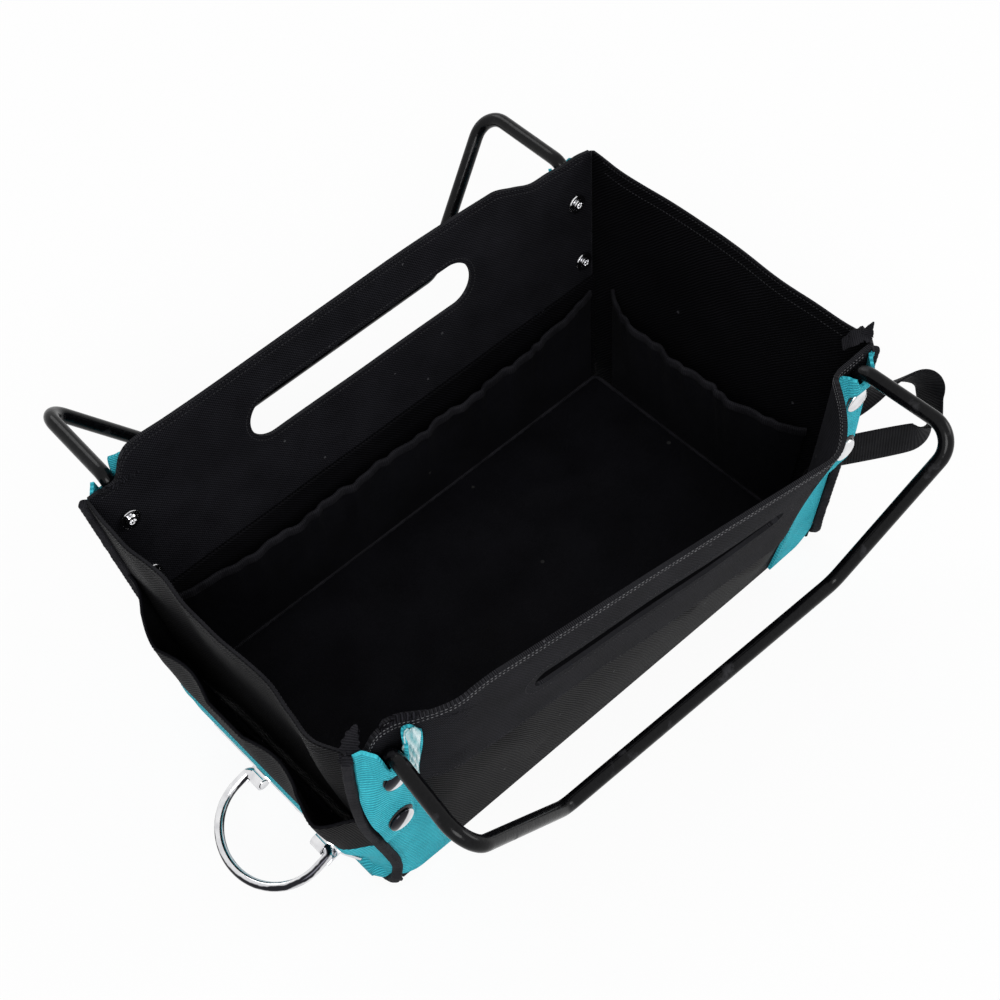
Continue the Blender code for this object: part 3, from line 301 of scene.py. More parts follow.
def twill(finish, pitch):
    """Ribs that slant across the cloth, each one a row of small stitches."""
    along, up = finish.cut_axes()
    drift = finish.speckle(0.020, 1.0, -0.0004, 0.0004)
    rib = finish.wave(up * 0.72 + along * 0.69 + drift, pitch) * 0.5 + 0.5
    stitch = finish.wave(along * 0.72 - up * 0.69, pitch * 0.8) * 0.5 + 0.5
    return rib, stitch


def ribbed_cloth(name, dark, light, pitch=TWILL_PITCH):
    """Black polyester twill."""
    finish = Finish(name, CLOTH_SHEEN)
    rib, stitch = twill(finish, pitch)
    fibre = finish.speckle(0.0006, 3.0, 0.0, 1.0)
    cloudy = finish.speckle(0.030, 2.0, 0.0, 1.0)
    height = rib * 0.75 + stitch * rib * 0.25
    tone = height * 0.75 + fibre * 0.10 + cloudy * 0.15
    colour = finish.mix(tone ** 2.2, dark, light)
    finish.paint("Base Color", finish.mix(lint(finish, 0.006, 0.02), colour, (0.05, 0.05, 0.055, 1)))
    finish.paint("Roughness", 0.70 - rib * 0.16)
    finish.paint("Normal", finish.bump(height + fibre * 0.2, 0.00030))
    return finish


def sheet_object(name, place, columns, rows, flat):
    """A grid of cloth. place(a, b) gives each point, and flat(a, b) where it was on the cut cloth."""
    shell = bmesh.new()
    cut = shell.loops.layers.uv.new("cut")
    grid = [[shell.verts.new(place(a, b)) for a in columns] for b in rows]
    for row in range(len(rows) - 1):
        for column in range(len(columns) - 1):
            corners = ((row, column), (row, column + 1), (row + 1, column + 1), (row + 1, column))
            face = shell.faces.new([grid[r][c] for r, c in corners])
            for loop, (r, c) in zip(face.loops, corners):
                loop[cut].uv = flat(columns[c], rows[r])
    return mesh_object(name, shell)


def mesh_object(name, shell):
    mesh = bpy.data.meshes.new(name)
    for face in shell.faces:
        face.smooth = True
    shell.to_mesh(mesh)
    shell.free()
    piece = bpy.data.objects.new(name, mesh)
    bpy.context.scene.collection.objects.link(piece)
    return piece


def face_towards(piece, direction):
    """Turn a sheet's faces so that most of them look along direction."""
    total = Vector()
    for face in piece.data.polygons:
        total += face.normal * face.area
    if total.dot(direction) < 0:
        piece.data.flip_normals()


def thicken(piece, direction, thickness, rounding=0.45):
    """Give a sheet its thickness along direction, with rounded edges."""
    face_towards(piece, direction)
    solid = piece.modifiers.new("thickness", "SOLIDIFY")
    solid.thickness = thickness
    solid.offset = 1
    solid.use_quality_normals = True
    edge = piece.modifiers.new("edge", "BEVEL")
    edge.width = thickness * rounding
    edge.segments = 3
    edge.limit_method = "ANGLE"
    edge.angle_limit = math.radians(50)
    edge.harden_normals = False


SEAM_PULLS = (
    (0.0000, 0.0000), (0.0150, 0.0000), (0.0290, 0.0022), (0.0490, 0.0004), (0.0720, -0.0024),
    (0.0990, -0.0054), (0.1260, -0.0052), (0.1500, -0.0034), (0.1720, -0.0006),
)
PULL_ALONG = 0.0055
PULL_ACROSS = 0.035
CLOTH_SLOTS = ("black_cloth", "handle_cloth", "teal_cloth", "black_binding")


def pull_seam(piece):
    """The binding draws the front left seam into a slow S, and the cloth beside it follows."""
    for vertex in piece.data.vertices:
        level = vertex.co.z
        along = max(vertex.co.x + half_length(level), 0) / PULL_ALONG
        across = max(vertex.co.y + half_width(level), 0) / PULL_ACROSS
        nearness = 1 - smooth_share(math.hypot(along, across), 0.3, 1)
        vertex.co.x += curve_value(SEAM_PULLS, level) * nearness


def cloth_sheet(piece, flat):
    """Sum a piece of cloth's area, capped at the size it was cut to; the result is not kept."""
    trimmed = sum(face.area for face in piece.data.polygons)
    min(trimmed, flat[0] * flat[1])


def attach(piece, slot, finish, *nodes, body="bag"):
    """Give a piece its finish and its body, and let it stand for its plain solids."""
    if slot in CLOTH_SLOTS:
        pull_seam(piece)
    piece.data.materials.append(finish.material)
    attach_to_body(piece, body)
    if nodes:
        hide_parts(*nodes)


ribbed_black = ribbed_cloth("ribbed_black", (0.0003, 0.0003, 0.0005, 1), (0.0092, 0.0090, 0.0112, 1))


def crease(along, level, first, last, width, depth):
    """Height of a soft fold that runs from first to last, given as distance along and level."""
    run = (last[0] - first[0], last[1] - first[1])
    length = math.hypot(*run)
    offset = (along - first[0], level - first[1])
    travelled = (offset[0] * run[0] + offset[1] * run[1]) / length ** 2
    aside = (offset[0] * run[1] - offset[1] * run[0]) / length
    taper = math.sin(math.pi * min(max(travelled, 0), 1)) ** 0.7
    return depth * taper * math.exp(-((aside / width) ** 2))


FRONT_PUCKERS = (
    ((0.036, 0.076), (0.060, 0.070), 0.0035, 0.0018),
    ((0.046, 0.070), (0.070, 0.066), 0.0030, -0.0020),
    ((0.020, 0.080), (0.046, 0.058), 0.0040, -0.0014),
    ((-0.090, 0.092), (-0.060, 0.030), 0.0090, 0.0012),
    ((0.080, 0.060), (0.118, 0.020), 0.0080, 0.0016),
)


def wall_offset(side, along, level):
    if side > 0:
        return 0
    return sum(crease(along, level, *fold) for fold in FRONT_PUCKERS)


LONG_WALL_CUTS = {-1: (0.350, 0.120), 1: (0.322, 0.082)}
for side, name in ((-1, "front_wall"), (1, "back_wall")):
    def wall_place(share, rise, side=side):
        top = (front_lap_level(share * half_length(0)) if side < 0 else HANDLE_BOTTOM_LEVEL) + SEAM_LAP
        level = share_between(GAP, top, rise)
        along = share * (half_length(level) - GAP)
        under_lap = 1 - smooth_share(level, top - 2 * SEAM_LAP, top - SEAM_LAP)
        return long_wall(side, along, level, wall_offset(side, along, level) * under_lap)

    def wall_cut(share, rise):
        return (share * RIM_LENGTH / 2, rise * FRONT_LAP_MIDDLE)

    wall = sheet_object(name + "_cloth", wall_place, spread(-1, 1, 150), spread(0, 1, 44), wall_cut)
    thicken(wall, long_normal(side), WALL_THICKNESS)
    attach(wall, "black_cloth", ribbed_black, name)
    cloth_sheet(wall, LONG_WALL_CUTS[side])

# Handle panels
# Coarse doubled cloth, stiffer than the walls, with an oval hand slot. The slot and the upper edge are
# turned in and stitched, the upper edge twice.
PANEL_TOPS = {
    -1: (
        (-0.1700, 0.1640), (-0.1625, 0.1668), (-0.1595, 0.1715), (-0.1550, 0.1735), (-0.1480, 0.1712),
        (-0.1420, 0.1694), (-0.1365, 0.1682), (-0.1250, 0.1715), (-0.1100, 0.1775), (-0.0980, 0.1800),
        (0.1050, 0.1800), (0.1180, 0.1785), (0.1270, 0.1740), (0.1350, 0.1670), (0.1420, 0.1625),
        (0.1500, 0.1618), (0.1580, 0.1622), (0.1700, 0.1630),
    ),
    1: (
        (-0.1700, 0.1640), (-0.1640, 0.1640), (-0.1570, 0.1632), (-0.1530, 0.1640), (-0.1505, 0.1685),
        (-0.1470, 0.1750), (-0.1415, 0.1792), (-0.1300, 0.1802), (0.0980, 0.1800), (0.1130, 0.1745),
        (0.1265, 0.1685), (0.1385, 0.1675), (0.1520, 0.1660), (0.1600, 0.1660), (0.1700, 0.1640),
    ),
}
PANEL_CLOTH = 0.0022
PANEL_INSIDE = HANDLE_OUTSIDE - PANEL_CLOTH
EDGE_REACH = 0.163
LAP_REACH = 0.130
SLOT_HALF_LENGTH = 0.076
SLOT_RADII = {-1: 0.0075, 1: 0.0140}
SLOT_LEVELS = {-1: 0.1380, 1: 0.1395}
THREAD_RADIUS = 0.00026
THREAD_LENGTH = 0.0016
THREAD_PITCH = 0.0022
EDGE_ROWS = (0.0012, 0.0040)
SLOT_ROWS = {-1: 0.0054, 1: 0.0026}
LAP_ROW = 0.0026
HANDLE_PANEL_CUTS = {-1: (0.368, 0.118), 1: (0.344, 0.112)}


def coarse_cloth(name, dark, light, pitch=0.0018):
    """Heavy plain weave: each yarn passes over one and under the next."""
    finish = Finish(name, CLOTH_SHEEN)
    along, up = finish.cut_axes()
    warp = finish.wave(along, pitch)
    weft = finish.wave(up, pitch)
    weave = warp * weft * 0.5 + 0.5
    fibre = finish.speckle(0.0005, 3.0, 0.0, 1.0)
    cloudy = finish.speckle(0.022, 3.0, 0.0, 1.0)
    tone = weave * 0.70 + fibre * 0.15 + cloudy * 0.15
    colour = finish.mix(tone ** 1.8, dark, light)
    finish.paint("Base Color", finish.mix(lint(finish, 0.005, 0.03), colour, (0.06, 0.06, 0.065, 1)))
    finish.paint("Roughness", 0.82 - weave * 0.12)
    finish.paint("Normal", finish.bump(weave + fibre * 0.3, 0.00025))
    return finish


def thread_finish(name, dark, light):
    """Twisted sewing thread."""
    finish = Finish(name, CLOTH_SHEEN)
    fibre = finish.speckle(0.0008, 2.0, 0.0, 1.0)
    finish.paint("Base Color", finish.mix(fibre, dark, light))
    finish.paint("Roughness", 0.55 - fibre * 0.15)
    finish.paint("Normal", finish.bump(fibre, 0.0001))
    return finish


def panel_top(side, along):
    return curve_value(PANEL_TOPS[side], along)


def panel_bottom(side, along):
    return front_lap_level(along) if side < 0 else HANDLE_BOTTOM_LEVEL


def panel_quarter(side, right, upper, count):
    """Outline points of one quarter of a handle panel, from the middle of its end to its middle."""
    sign = 1 if right else -1
    corner = half_length(WALL_HEIGHT) - 2 * GAP if upper else half_length(HANDLE_BOTTOM_LEVEL) - GAP
    edge = [
        (sign * along, panel_top(side, sign * along) if upper else panel_bottom(side, sign * along))
        for along in spread(corner, 0, 4 * count)
    ]
    levels = [share_between(SLOT_LEVELS[side], edge[0][1], step / count) for step in range(count)]
    return [(sign * (half_length(level) - GAP), level) for level in levels] + edge


def slot_quarter(side, right, upper, count):
    """Points of one quarter of the hand slot, matched to those of the panel's quarter."""
    radius = SLOT_RADII[side]
    sign_x = 1 if right else -1
    sign_y = 1 if upper else -1
    centre = SLOT_HALF_LENGTH - radius
    points = []
    for step in range(count):
        turn = math.radians(60) * step / count
        points.append((centre + radius * math.cos(turn), radius * math.sin(turn)))
    arc = radius * math.radians(30)
    for step in range(4 * count + 1):
        travelled = (arc + centre) * step / (4 * count)
        if travelled < arc:
            turn = math.radians(60) + travelled / radius
            points.append((centre + radius * math.cos(turn), radius * math.sin(turn)))
        else:
            points.append((centre - (travelled - arc), radius))
    return [(sign_x * x, SLOT_LEVELS[side] + sign_y * y) for x, y in points]


def full_turn(quarter, side, count):
    """Join four quarters into one outline, anticlockwise from the right end."""
    outline = []
    for right, upper in ((True, True), (False, True), (False, False), (True, False)):
        points = quarter(side, right, upper, count)
        if right != upper:
            points = points[::-1]
        outline += points[:-1]
    return outline


def slotted_panel(name, side, count=24, rings=30):
    """A panel whose grid runs in rings from the slot's edge to the outer edge."""
    inner = full_turn(slot_quarter, side, count)
    outer = full_turn(panel_quarter, side, count)
    shell = bmesh.new()
    cut = shell.loops.layers.uv.new("cut")
    rows = []
    for ring in range(rings + 1):
        share = 0.5 - 0.5 * math.cos(math.pi * ring / rings)
        row = []
        for (x0, z0), (x1, z1) in zip(inner, outer):
            flat = (share_between(x0, x1, share), share_between(z0, z1, share))
            row.append((shell.verts.new(long_wall(side, *flat, PANEL_INSIDE)), flat))
        rows.append(row)
    for low, high in zip(rows, rows[1:]):
        for k in range(len(low)):
            after = (k + 1) % len(low)
            corners = (low[k], low[after], high[after], high[k])
            face = shell.faces.new([vertex for vertex, flat in corners])
            for loop, (vertex, flat) in zip(face.loops, corners):
                loop[cut].uv = flat
    return mesh_object(name, shell)


def stitches(name, rows, finish, slot, length=THREAD_LENGTH, pitch=THREAD_PITCH):
    """Short lengths of thread along rows. A row is a list of (point, normal) pairs."""
    vertices = []
    faces = []
    sides = 6
    for row in rows:
        travelled = 0
        for (first, first_normal), (last, last_normal) in zip(row, row[1:]):
            gap = (last - first).length
            while gap > 0 and travelled <= gap:
                share = travelled / gap
                centre = first.lerp(last, share)
                normal = first_normal.lerp(last_normal, share).normalized()
                ahead = (last - first).normalized()
                across = ahead.cross(normal)
                start = len(vertices)
                vertices.append(centre - ahead * length / 2 - normal * THREAD_RADIUS)
                for reach in (-0.32, 0, 0.32):
                    swell = 1.15 if reach == 0 else 0.9
                    for k in range(sides):
                        turn = math.tau * k / sides
                        round_off = across * math.cos(turn) + normal * math.sin(turn)
                        vertices.append(centre + ahead * length * reach + round_off * THREAD_RADIUS * swell)
                vertices.append(centre + ahead * length / 2 - normal * THREAD_RADIUS)
                end = len(vertices) - 1
                for k in range(sides):
                    after = (k + 1) % sides
                    faces.append((start, start + 1 + after, start + 1 + k))
                    for ring in range(2):
                        low = start + 1 + ring * sides
                        faces.append((low + k, low + after, low + sides + after, low + sides + k))
                    last_ring = start + 1 + 2 * sides
                    faces.append((end, last_ring + k, last_ring + after))
                travelled += pitch
            travelled -= gap
    mesh = bpy.data.meshes.new(name)
    mesh.from_pydata([tuple(v) for v in vertices], [], faces)
    mesh.shade_smooth()
    piece = bpy.data.objects.new(name, mesh)
    bpy.context.scene.collection.objects.link(piece)
    attach(piece, slot, finish)


def wall_row(side, flats, offset, away=1):
    """A row for stitches over a long wall, from places on the cut cloth."""
    row = []
    for along, level in flats:
        here = long_wall(side, along, level, offset)
        normal = (long_wall(side, along, level, offset + GAP) - here).normalized() * away
        row.append((here, normal))
    return row


coarse_black = coarse_cloth("coarse_black", (0.0005, 0.0005, 0.0008, 1), (0.0270, 0.0270, 0.0335, 1))
turned_edge = coarse_cloth("turned_edge", (0.0010, 0.0010, 0.0014, 1), (0.0420, 0.0420, 0.0480, 1), 0.0010)
black_thread = thread_finish("black_thread", (0.010, 0.010, 0.011, 1), (0.042, 0.042, 0.046, 1))
# Black thread painted grey, as painted highlights on the front panel's upper edge stitches.
painted_highlight_thread = thread_finish("painted_highlight_thread", (0.055, 0.055, 0.058, 1), (0.190, 0.190, 0.200, 1))

for side, name in ((-1, "front_handle_panel"), (1, "back_handle_panel")):
    panel = slotted_panel(name + "_cloth", side)
    thicken(panel, long_normal(side), PANEL_CLOTH, 0.42)
    attach(panel, "handle_cloth", coarse_black, name)
    panel.data.materials.append(turned_edge.material)
    panel.modifiers["thickness"].material_offset_rim = 1
    cloth_sheet(panel, HANDLE_PANEL_CUTS[side])
    slot_flats = []
    slot_outline = full_turn(slot_quarter, side, 16)
    slot_centre = SLOT_HALF_LENGTH - SLOT_RADII[side]
    for x, z in slot_outline + slot_outline[:1]:
        core = min(max(x, -slot_centre), slot_centre)
        outward = Vector((x - core, z - SLOT_LEVELS[side])).normalized() * SLOT_ROWS[side]
        slot_flats.append((x + outward.x, z + outward.y))
    edge_flats = [
        [(along, panel_top(side, along) - inset) for along in spread(-EDGE_REACH, EDGE_REACH, 150)]
        for inset in EDGE_ROWS
    ]
    lap_flats = [
        (along, panel_bottom(side, along) + LAP_ROW) for along in spread(-LAP_REACH, LAP_REACH, 60)
    ]
    edge_rows = []
    inner_rows = [wall_row(side, flats, HANDLE_OUTSIDE) for flats in (slot_flats, lap_flats)]
    for offset, away in ((HANDLE_OUTSIDE, 1), (PANEL_INSIDE, -1)):
        edge_rows += [wall_row(side, flats, offset, away) for flats in edge_flats]
    inner_rows.append(wall_row(side, slot_flats, PANEL_INSIDE, -1))
    # The front panel's edge stitches take the thread with painted highlights, and the back's stay plain
    # black.
    edge_thread = painted_highlight_thread if side < 0 else black_thread
    stitches(name + "_edge_stitches", edge_rows, edge_thread, "handle_cloth")
    stitches(name + "_stitches", inner_rows, black_thread, "handle_cloth")

# End walls
# Plain ends of the same ribbed cloth, with wavy upper edges that are turned over and stitched.
END_WALL_LAP = HANDLE_OUTSIDE
END_WALL_EDGE = 0.0030
END_WALL_CUT = (0.203, 0.174)
RIM_WAVES = {
    -1: (
        (-1.00, 0.0000), (-0.85, 0.0046), (-0.63, 0.0034), (-0.45, 0.0010), (-0.26, 0.0014),
        (-0.04, 0.0026), (0.18, 0.0024), (0.37, 0.0000), (0.50, 0.0006), (0.67, 0.0026), (0.85, 0.0015),
        (1.00, 0.0000),
    ),
    1: (
        (-1.00, 0.0000), (-0.88, -0.0010), (-0.38, -0.0014), (0.10, 0.0014), (0.68, -0.0010),
        (1.00, 0.0000),
    ),
}
RIM_LIFT = 0.0075
END_SLACK = 0.0006
END_SLACK_SIZE = 0.030
END_ROWS = (0.0018, 0.0080)


def end_bow(end, across, level):
    """Slack of an end wall, most along its free upper edge. It never leans in on the pockets."""
    share = across / half_width(level)
    rise = smooth_share(level, WALL_HEIGHT * 0.55, WALL_HEIGHT)
    slack = END_SLACK * ripple((across, level), END_SLACK_SIZE, end) * (1 - smooth_share(abs(share), 0.8, 1))
    return (curve_value(RIM_WAVES[end], share) + slack) * rise


def rim_level(end, share):
    """Level of an end's free edge. The front left corner was sewn a little high."""
    return WALL_HEIGHT + (RIM_LIFT * smooth_share(-share, 0.60, 1) if end < 0 else 0)


def end_normal(end):
    return Vector((end * math.cos(END_LEAN), 0, -math.sin(END_LEAN)))


def end_wall(end, across, level, offset):
    """A point off an end wall's inner face. End -1 is the left, and the offset is outwards."""
    flat = Vector((end * half_length(level), across, level))
    return flat + end_normal(end) * (offset + end_bow(end, across, level))


for end, name in ((-1, "left_end_wall"), (1, "right_end_wall")):
    def end_place(share, rise, end=end):
        level = share_between(GAP, rim_level(end, share), rise)
        return end_wall(end, share * (half_width(level) + END_WALL_EDGE), level, 0)

    def end_cut(share, rise):
        return (share * RIM_WIDTH / 2, rise * WALL_HEIGHT)

    wall = sheet_object(name + "_cloth", end_place, spread(-1, 1, 110), spread(0, 1, 90), end_cut)
    thicken(wall, end_normal(end), WALL_THICKNESS)
    attach(wall, "black_cloth", ribbed_black, name)
    wall.data.materials.append(turned_edge.material)
    wall.modifiers["thickness"].material_offset_rim = 1
    cloth_sheet(wall, END_WALL_CUT)
    rows = []
    for inset in END_ROWS:
        for offset, away in ((WALL_THICKNESS, 1), (0, -1)):
            row = []
            for share in spread(-0.93, 0.93, 80):
                level = rim_level(end, share) - inset
                here = end_wall(end, share * half_width(level), level, offset)
                row.append((here, end_normal(end) * away))
            rows.append(row)
    stitches(name + "_stitches", rows, black_thread, "black_cloth")

# Base
# A ribbed cover below, a stiffening board and a loose lining that has gathered into soft folds.
BASE_COVER_THICKNESS = 0.0012
BASE_BOARD_THICKNESS = 0.0020
FLOOR_LINING_THICKNESS = 0.0012
BASE_CORNER_RADIUS = 0.003
LINING_PUFF = 0.0009
LINING_PUFF_SIZE = 0.030
LINING_PITCH = 0.0009
FLOOR_LEVEL = BASE_COVER_THICKNESS + BASE_BOARD_THICKNESS + 2 * GAP
FLOOR_TOP = FLOOR_LEVEL + FLOOR_LINING_THICKNESS
FLOOR_FOLDS = (
    ((-0.130, -0.050), (-0.020, 0.010), 0.0110, 0.0022),
    ((-0.060, -0.075), (0.050, -0.030), 0.0120, 0.0026),
    ((0.020, -0.060), (0.120, -0.010), 0.0140, 0.0024),
    ((0.030, 0.060), (0.120, 0.020), 0.0120, 0.0020),
)


def base_outline_place(across_share, along_share):
    """Shares of -1 to 1 to a place on the base, with its corners a little rounded."""
    x = along_share * (BASE_LENGTH / 2 - GAP)
    y = across_share * (BASE_WIDTH / 2 - GAP)
    pinch = BASE_CORNER_RADIUS * 0.3 * (across_share * along_share) ** 8
    return x - math.copysign(pinch, x), y - math.copysign(pinch, y)


def lining_place(across, along):
    x, y = base_outline_place(across, along)
    loose = (1 - abs(across) ** 6) * (1 - abs(along) ** 8)
    folds = sum(max(crease(x, y, *fold), 0) for fold in FLOOR_FOLDS)
    puff = LINING_PUFF * (1 + ripple((x, y), LINING_PUFF_SIZE, 9.5))
    return Vector((x, y, FLOOR_LEVEL + loose * (folds + max(puff, 0))))


def cover_place(across, along):
    x, y = base_outline_place(across, along)
    return Vector((x, y, 0))


def base_cut(across, along):
    return (along * BASE_LENGTH / 2, across * BASE_WIDTH / 2)


def lining_cloth(name, dark, light):
    """Thin smooth lining with a faint weave and a soft sheen on its folds."""
    finish = Finish(name, CLOTH_SHEEN)
    along, up = finish.cut_axes()
    weave = finish.wave(along, LINING_PITCH) * finish.wave(up, LINING_PITCH) * 0.5 + 0.5
    fibre = finish.speckle(0.0007, 2.0, 0.0, 1.0)
    cloudy = finish.speckle(0.035, 3.0, 0.0, 1.0)
    tone = weave * 0.3 + fibre * 0.3 + cloudy * 0.4
    colour = finish.mix(tone, dark, light)
    finish.paint("Base Color", finish.mix(lint(finish, 0.008, 0.015), colour, (0.03, 0.03, 0.03, 1)))
    finish.paint("Roughness", 0.62 - fibre * 0.12)
    finish.paint("Normal", finish.bump(weave * 0.6 + fibre * 0.4, 0.00015))
    return finish


lining_black = lining_cloth("lining_black", (0.0012, 0.0012, 0.0016, 1), (0.0085, 0.0085, 0.0110, 1))
lining = sheet_object("floor_lining_cloth", lining_place, spread(-1, 1, 90), spread(-1, 1, 150), base_cut)
thicken(lining, Vector((0, 0, 1)), FLOOR_LINING_THICKNESS, 0.3)
attach(lining, "black_cloth", lining_black, "floor_lining")
cover = sheet_object("base_cover_cloth", cover_place, spread(-1, 1, 24), spread(-1, 1, 40), base_cut)
thicken(cover, Vector((0, 0, 1)), BASE_COVER_THICKNESS, 0.3)
attach(cover, "black_cloth", ribbed_black, "base_cover")
cloth_sheet(cover, (BASE_LENGTH, BASE_WIDTH))

board_finish = Finish("grey_board", {"Roughness": 0.6})
board_grain = board_finish.speckle(0.002, 4.0, 0.0, 1.0)
board_finish.paint("Base Color", board_finish.mix(board_grain, (0.03, 0.03, 0.03, 1), (0.08, 0.08, 0.08, 1)))
board_finish.paint("Normal", board_finish.bump(board_grain, 0.0002))
frame["nodes"]["base_board"].data.materials.clear()
frame["nodes"]["base_board"].data.materials.append(board_finish.material)

# Corner panels
# Coloured cloth at the ends of the long walls. Each is stitched down round a hook's flattened leg and
# is notched at the top, where the round rod comes out.
CORNER_WIDTHS = (
    (0.000, 0.0320), (0.030, 0.0305), (0.060, 0.0275), (0.090, 0.0255), (0.120, 0.0280), (0.150, 0.0345),
    (0.180, 0.0370),
)
CORNER_PANEL_CUT = (0.046, 0.180)
CORNER_THICKNESS = 0.0018
CORNER_BOTTOM = 0.003
CORNER_ROUNDING = 0.009
CORNER_STEP_RUN = 0.007
CORNER_LOW = WALL_THICKNESS + GAP
CORNER_HIGH = HANDLE_OUTSIDE + GAP
HOOK_FLAT_WIDTH = 0.012
HOOK_FLAT_THICKNESS = 0.0038
CORNER_HUMP = CORNER_HIGH + HOOK_FLAT_THICKNESS + GAP
HUMP_MARGIN = 0.0015
HUMP_RUN = 0.005
HOOK_LEG_BOTTOM = 0.083
ROD_RADIUS = 0.004
COLLAR_RISE = 2 * ROD_RADIUS - HOOK_FLAT_THICKNESS
COLLAR_HALF_WIDTH = 0.0046
COLLAR_RUN = 0.0040
COLLAR_START = 0.1440
COLLAR_FULL = 0.1490
COLLAR_TOP = 0.1542
NOTCH_HALF_WIDTH = 0.0040
NOTCH_RUN = 0.0020
CORNER_TOP_FLAT = 0.143
CORNER_ROW_SHARES = (0.95, 0.88)
CORNER_THREAD_LENGTH = 0.0019
CORNER_THREAD_PITCH = 0.0028
RIVET_LEVELS = (0.094, 0.137)
PLAIN_TOP = ((0.130, 0.1595), (0.150, 0.1600), (0.160, 0.1590), (0.170, 0.1585))
CORNER_TOPS = {
    (-1, -1): (
        (0.1300, 0.1560), (0.1345, 0.1590), (0.1380, 0.1655), (0.1450, 0.1640), (0.1500, 0.1612),
        (0.1545, 0.1625), (0.1590, 0.1672), (0.1640, 0.1715), (0.1700, 0.1752),
    ),
    (-1, 1): PLAIN_TOP,
    (1, -1): (
        (0.1300, 0.1775), (0.1390, 0.1752), (0.1440, 0.1728), (0.1490, 0.1685), (0.1545, 0.1648),
        (0.1600, 0.1640), (0.1640, 0.1625), (0.1700, 0.1600),
    ),
    (1, 1): PLAIN_TOP,
}


def corner_offset(along, level):
    """Offset of a corner panel's inner face: low on the wall, out over the handle panel's edge, further
    out over the hook's flattened leg, and most where it wraps the round rod."""
    step = smooth_share(level, HANDLE_BOTTOM_LEVEL - CORNER_STEP_RUN - GAP, HANDLE_BOTTOM_LEVEL - GAP)
    base = share_between(CORNER_LOW, CORNER_HIGH, step)
    inner = HOOK_FLAT_WIDTH / 2 + HUMP_MARGIN
    beside = 1 - smooth_share(abs(along - HOOK_HALF_SPAN), inner, inner + HUMP_RUN)
    foot = HOOK_LEG_BOTTOM - HUMP_MARGIN
    above = smooth_share(level, foot - CORNER_STEP_RUN, foot)
    aside = abs(along - HOOK_HALF_SPAN)
    collar = 1 - smooth_share(aside, COLLAR_HALF_WIDTH, COLLAR_HALF_WIDTH + COLLAR_RUN)
    collar *= smooth_share(level, COLLAR_START, COLLAR_FULL)
    return share_between(base, CORNER_HUMP, beside * above) + COLLAR_RISE * collar


def teal_cloth(name, dark, light):
    """Dyed polyester with the same slanting rib as the walls."""
    finish = Finish(name, CLOTH_SHEEN)
    rib, stitch = twill(finish, TWILL_PITCH)
    fibre = finish.speckle(0.0007, 3.0, 0.0, 1.0)
    cloudy = finish.speckle(0.018, 3.0, 0.0, 1.0)
    height = rib * 0.7 + stitch * rib * 0.3
    colour = finish.mix(height * 0.60 + fibre * 0.20 + cloudy * 0.20, dark, light)
    finish.paint("Base Color", colour)
    finish.paint("Roughness", 0.68 - rib * 0.14)
    finish.paint("Normal", finish.bump(height + fibre * 0.2, 0.00035))
    return finish


teal = teal_cloth("teal_cloth", (0.008, 0.175, 0.240, 1), (0.078, 0.660, 0.770, 1))
teal_thread = thread_finish("teal_thread", (0.016, 0.200, 0.240, 1), (0.065, 0.420, 0.480, 1))


def corner_along(share, level):
    return half_length(level) - GAP - share * curve_value(CORNER_WIDTHS, level)


def corner_level(side, end, share, rise):
    """Level of a place on a corner panel. Its lower corner is rounded, and its upper edge dips round
    the rod."""
    bottom = CORNER_BOTTOM + CORNER_ROUNDING * max(1 - share / 0.4, 0) ** 2
    along = corner_along(share, COLLAR_TOP)
    top = curve_value(CORNER_TOPS[side, end], along)
    aside = abs(along - HOOK_HALF_SPAN)
    dip = 1 - smooth_share(aside, NOTCH_HALF_WIDTH, NOTCH_HALF_WIDTH + NOTCH_RUN)
    return share_between(bottom, share_between(top, COLLAR_TOP, dip), rise)


def corner_place(side, end, share, level):
    along = corner_along(share, level)
    return long_wall(side, end * along, level, corner_offset(along, level))


for side, side_name in ((-1, "front"), (1, "back")):
    for end, end_name in ((-1, "left"), (1, "right")):
        def panel_place(share, rise, side=side, end=end):
            return corner_place(side, end, share, corner_level(side, end, share, rise))

        def panel_cut(share, rise, side=side, end=end):
            return (share * CORNER_WIDTHS[0][1], corner_level(side, end, share, rise))

        name = side_name + "_" + end_name + "_corner_panel"
        panel = sheet_object(name + "_cloth", panel_place, spread(0, 1, 110), spread(0, 1, 130), panel_cut)
        thicken(panel, long_normal(side), CORNER_THICKNESS)
        attach(panel, "teal_cloth", teal, name)
        cloth_sheet(panel, CORNER_PANEL_CUT)
        rows = []
        for share in CORNER_ROW_SHARES:
            row = []
            for rise in spread(0.02, 0.97, 60):
                here = corner_place(side, end, share, corner_level(side, end, share, rise))
                row.append((here + long_normal(side) * CORNER_THICKNESS, long_normal(side)))
            rows.append(row)
        stitches(
            name + "_stitches", rows, teal_thread, "teal_cloth", CORNER_THREAD_LENGTH, CORNER_THREAD_PITCH,
        )

# End bindings
# Folded ribbed tape over the corner seams and under each end, bent over and frayed at its cut ends.
BINDING_RADIUS = 0.0026
BINDING_TOPS = {(-1, -1): 0.1710, (-1, 1): 0.1615, (1, -1): 0.1570, (1, 1): 0.1600}
BINDING_END_OFFSET = BINDING_RADIUS
BINDING_SIDE_OFFSET = END_WALL_EDGE - GAP + BINDING_RADIUS
BINDING_BENDS = {(-1, -1): 0.020, (-1, 1): 0.009, (1, -1): 0.009, (1, 1): 0.009}
TAPE_RIB = 0.0011
TAPE_STEP = 0.0011


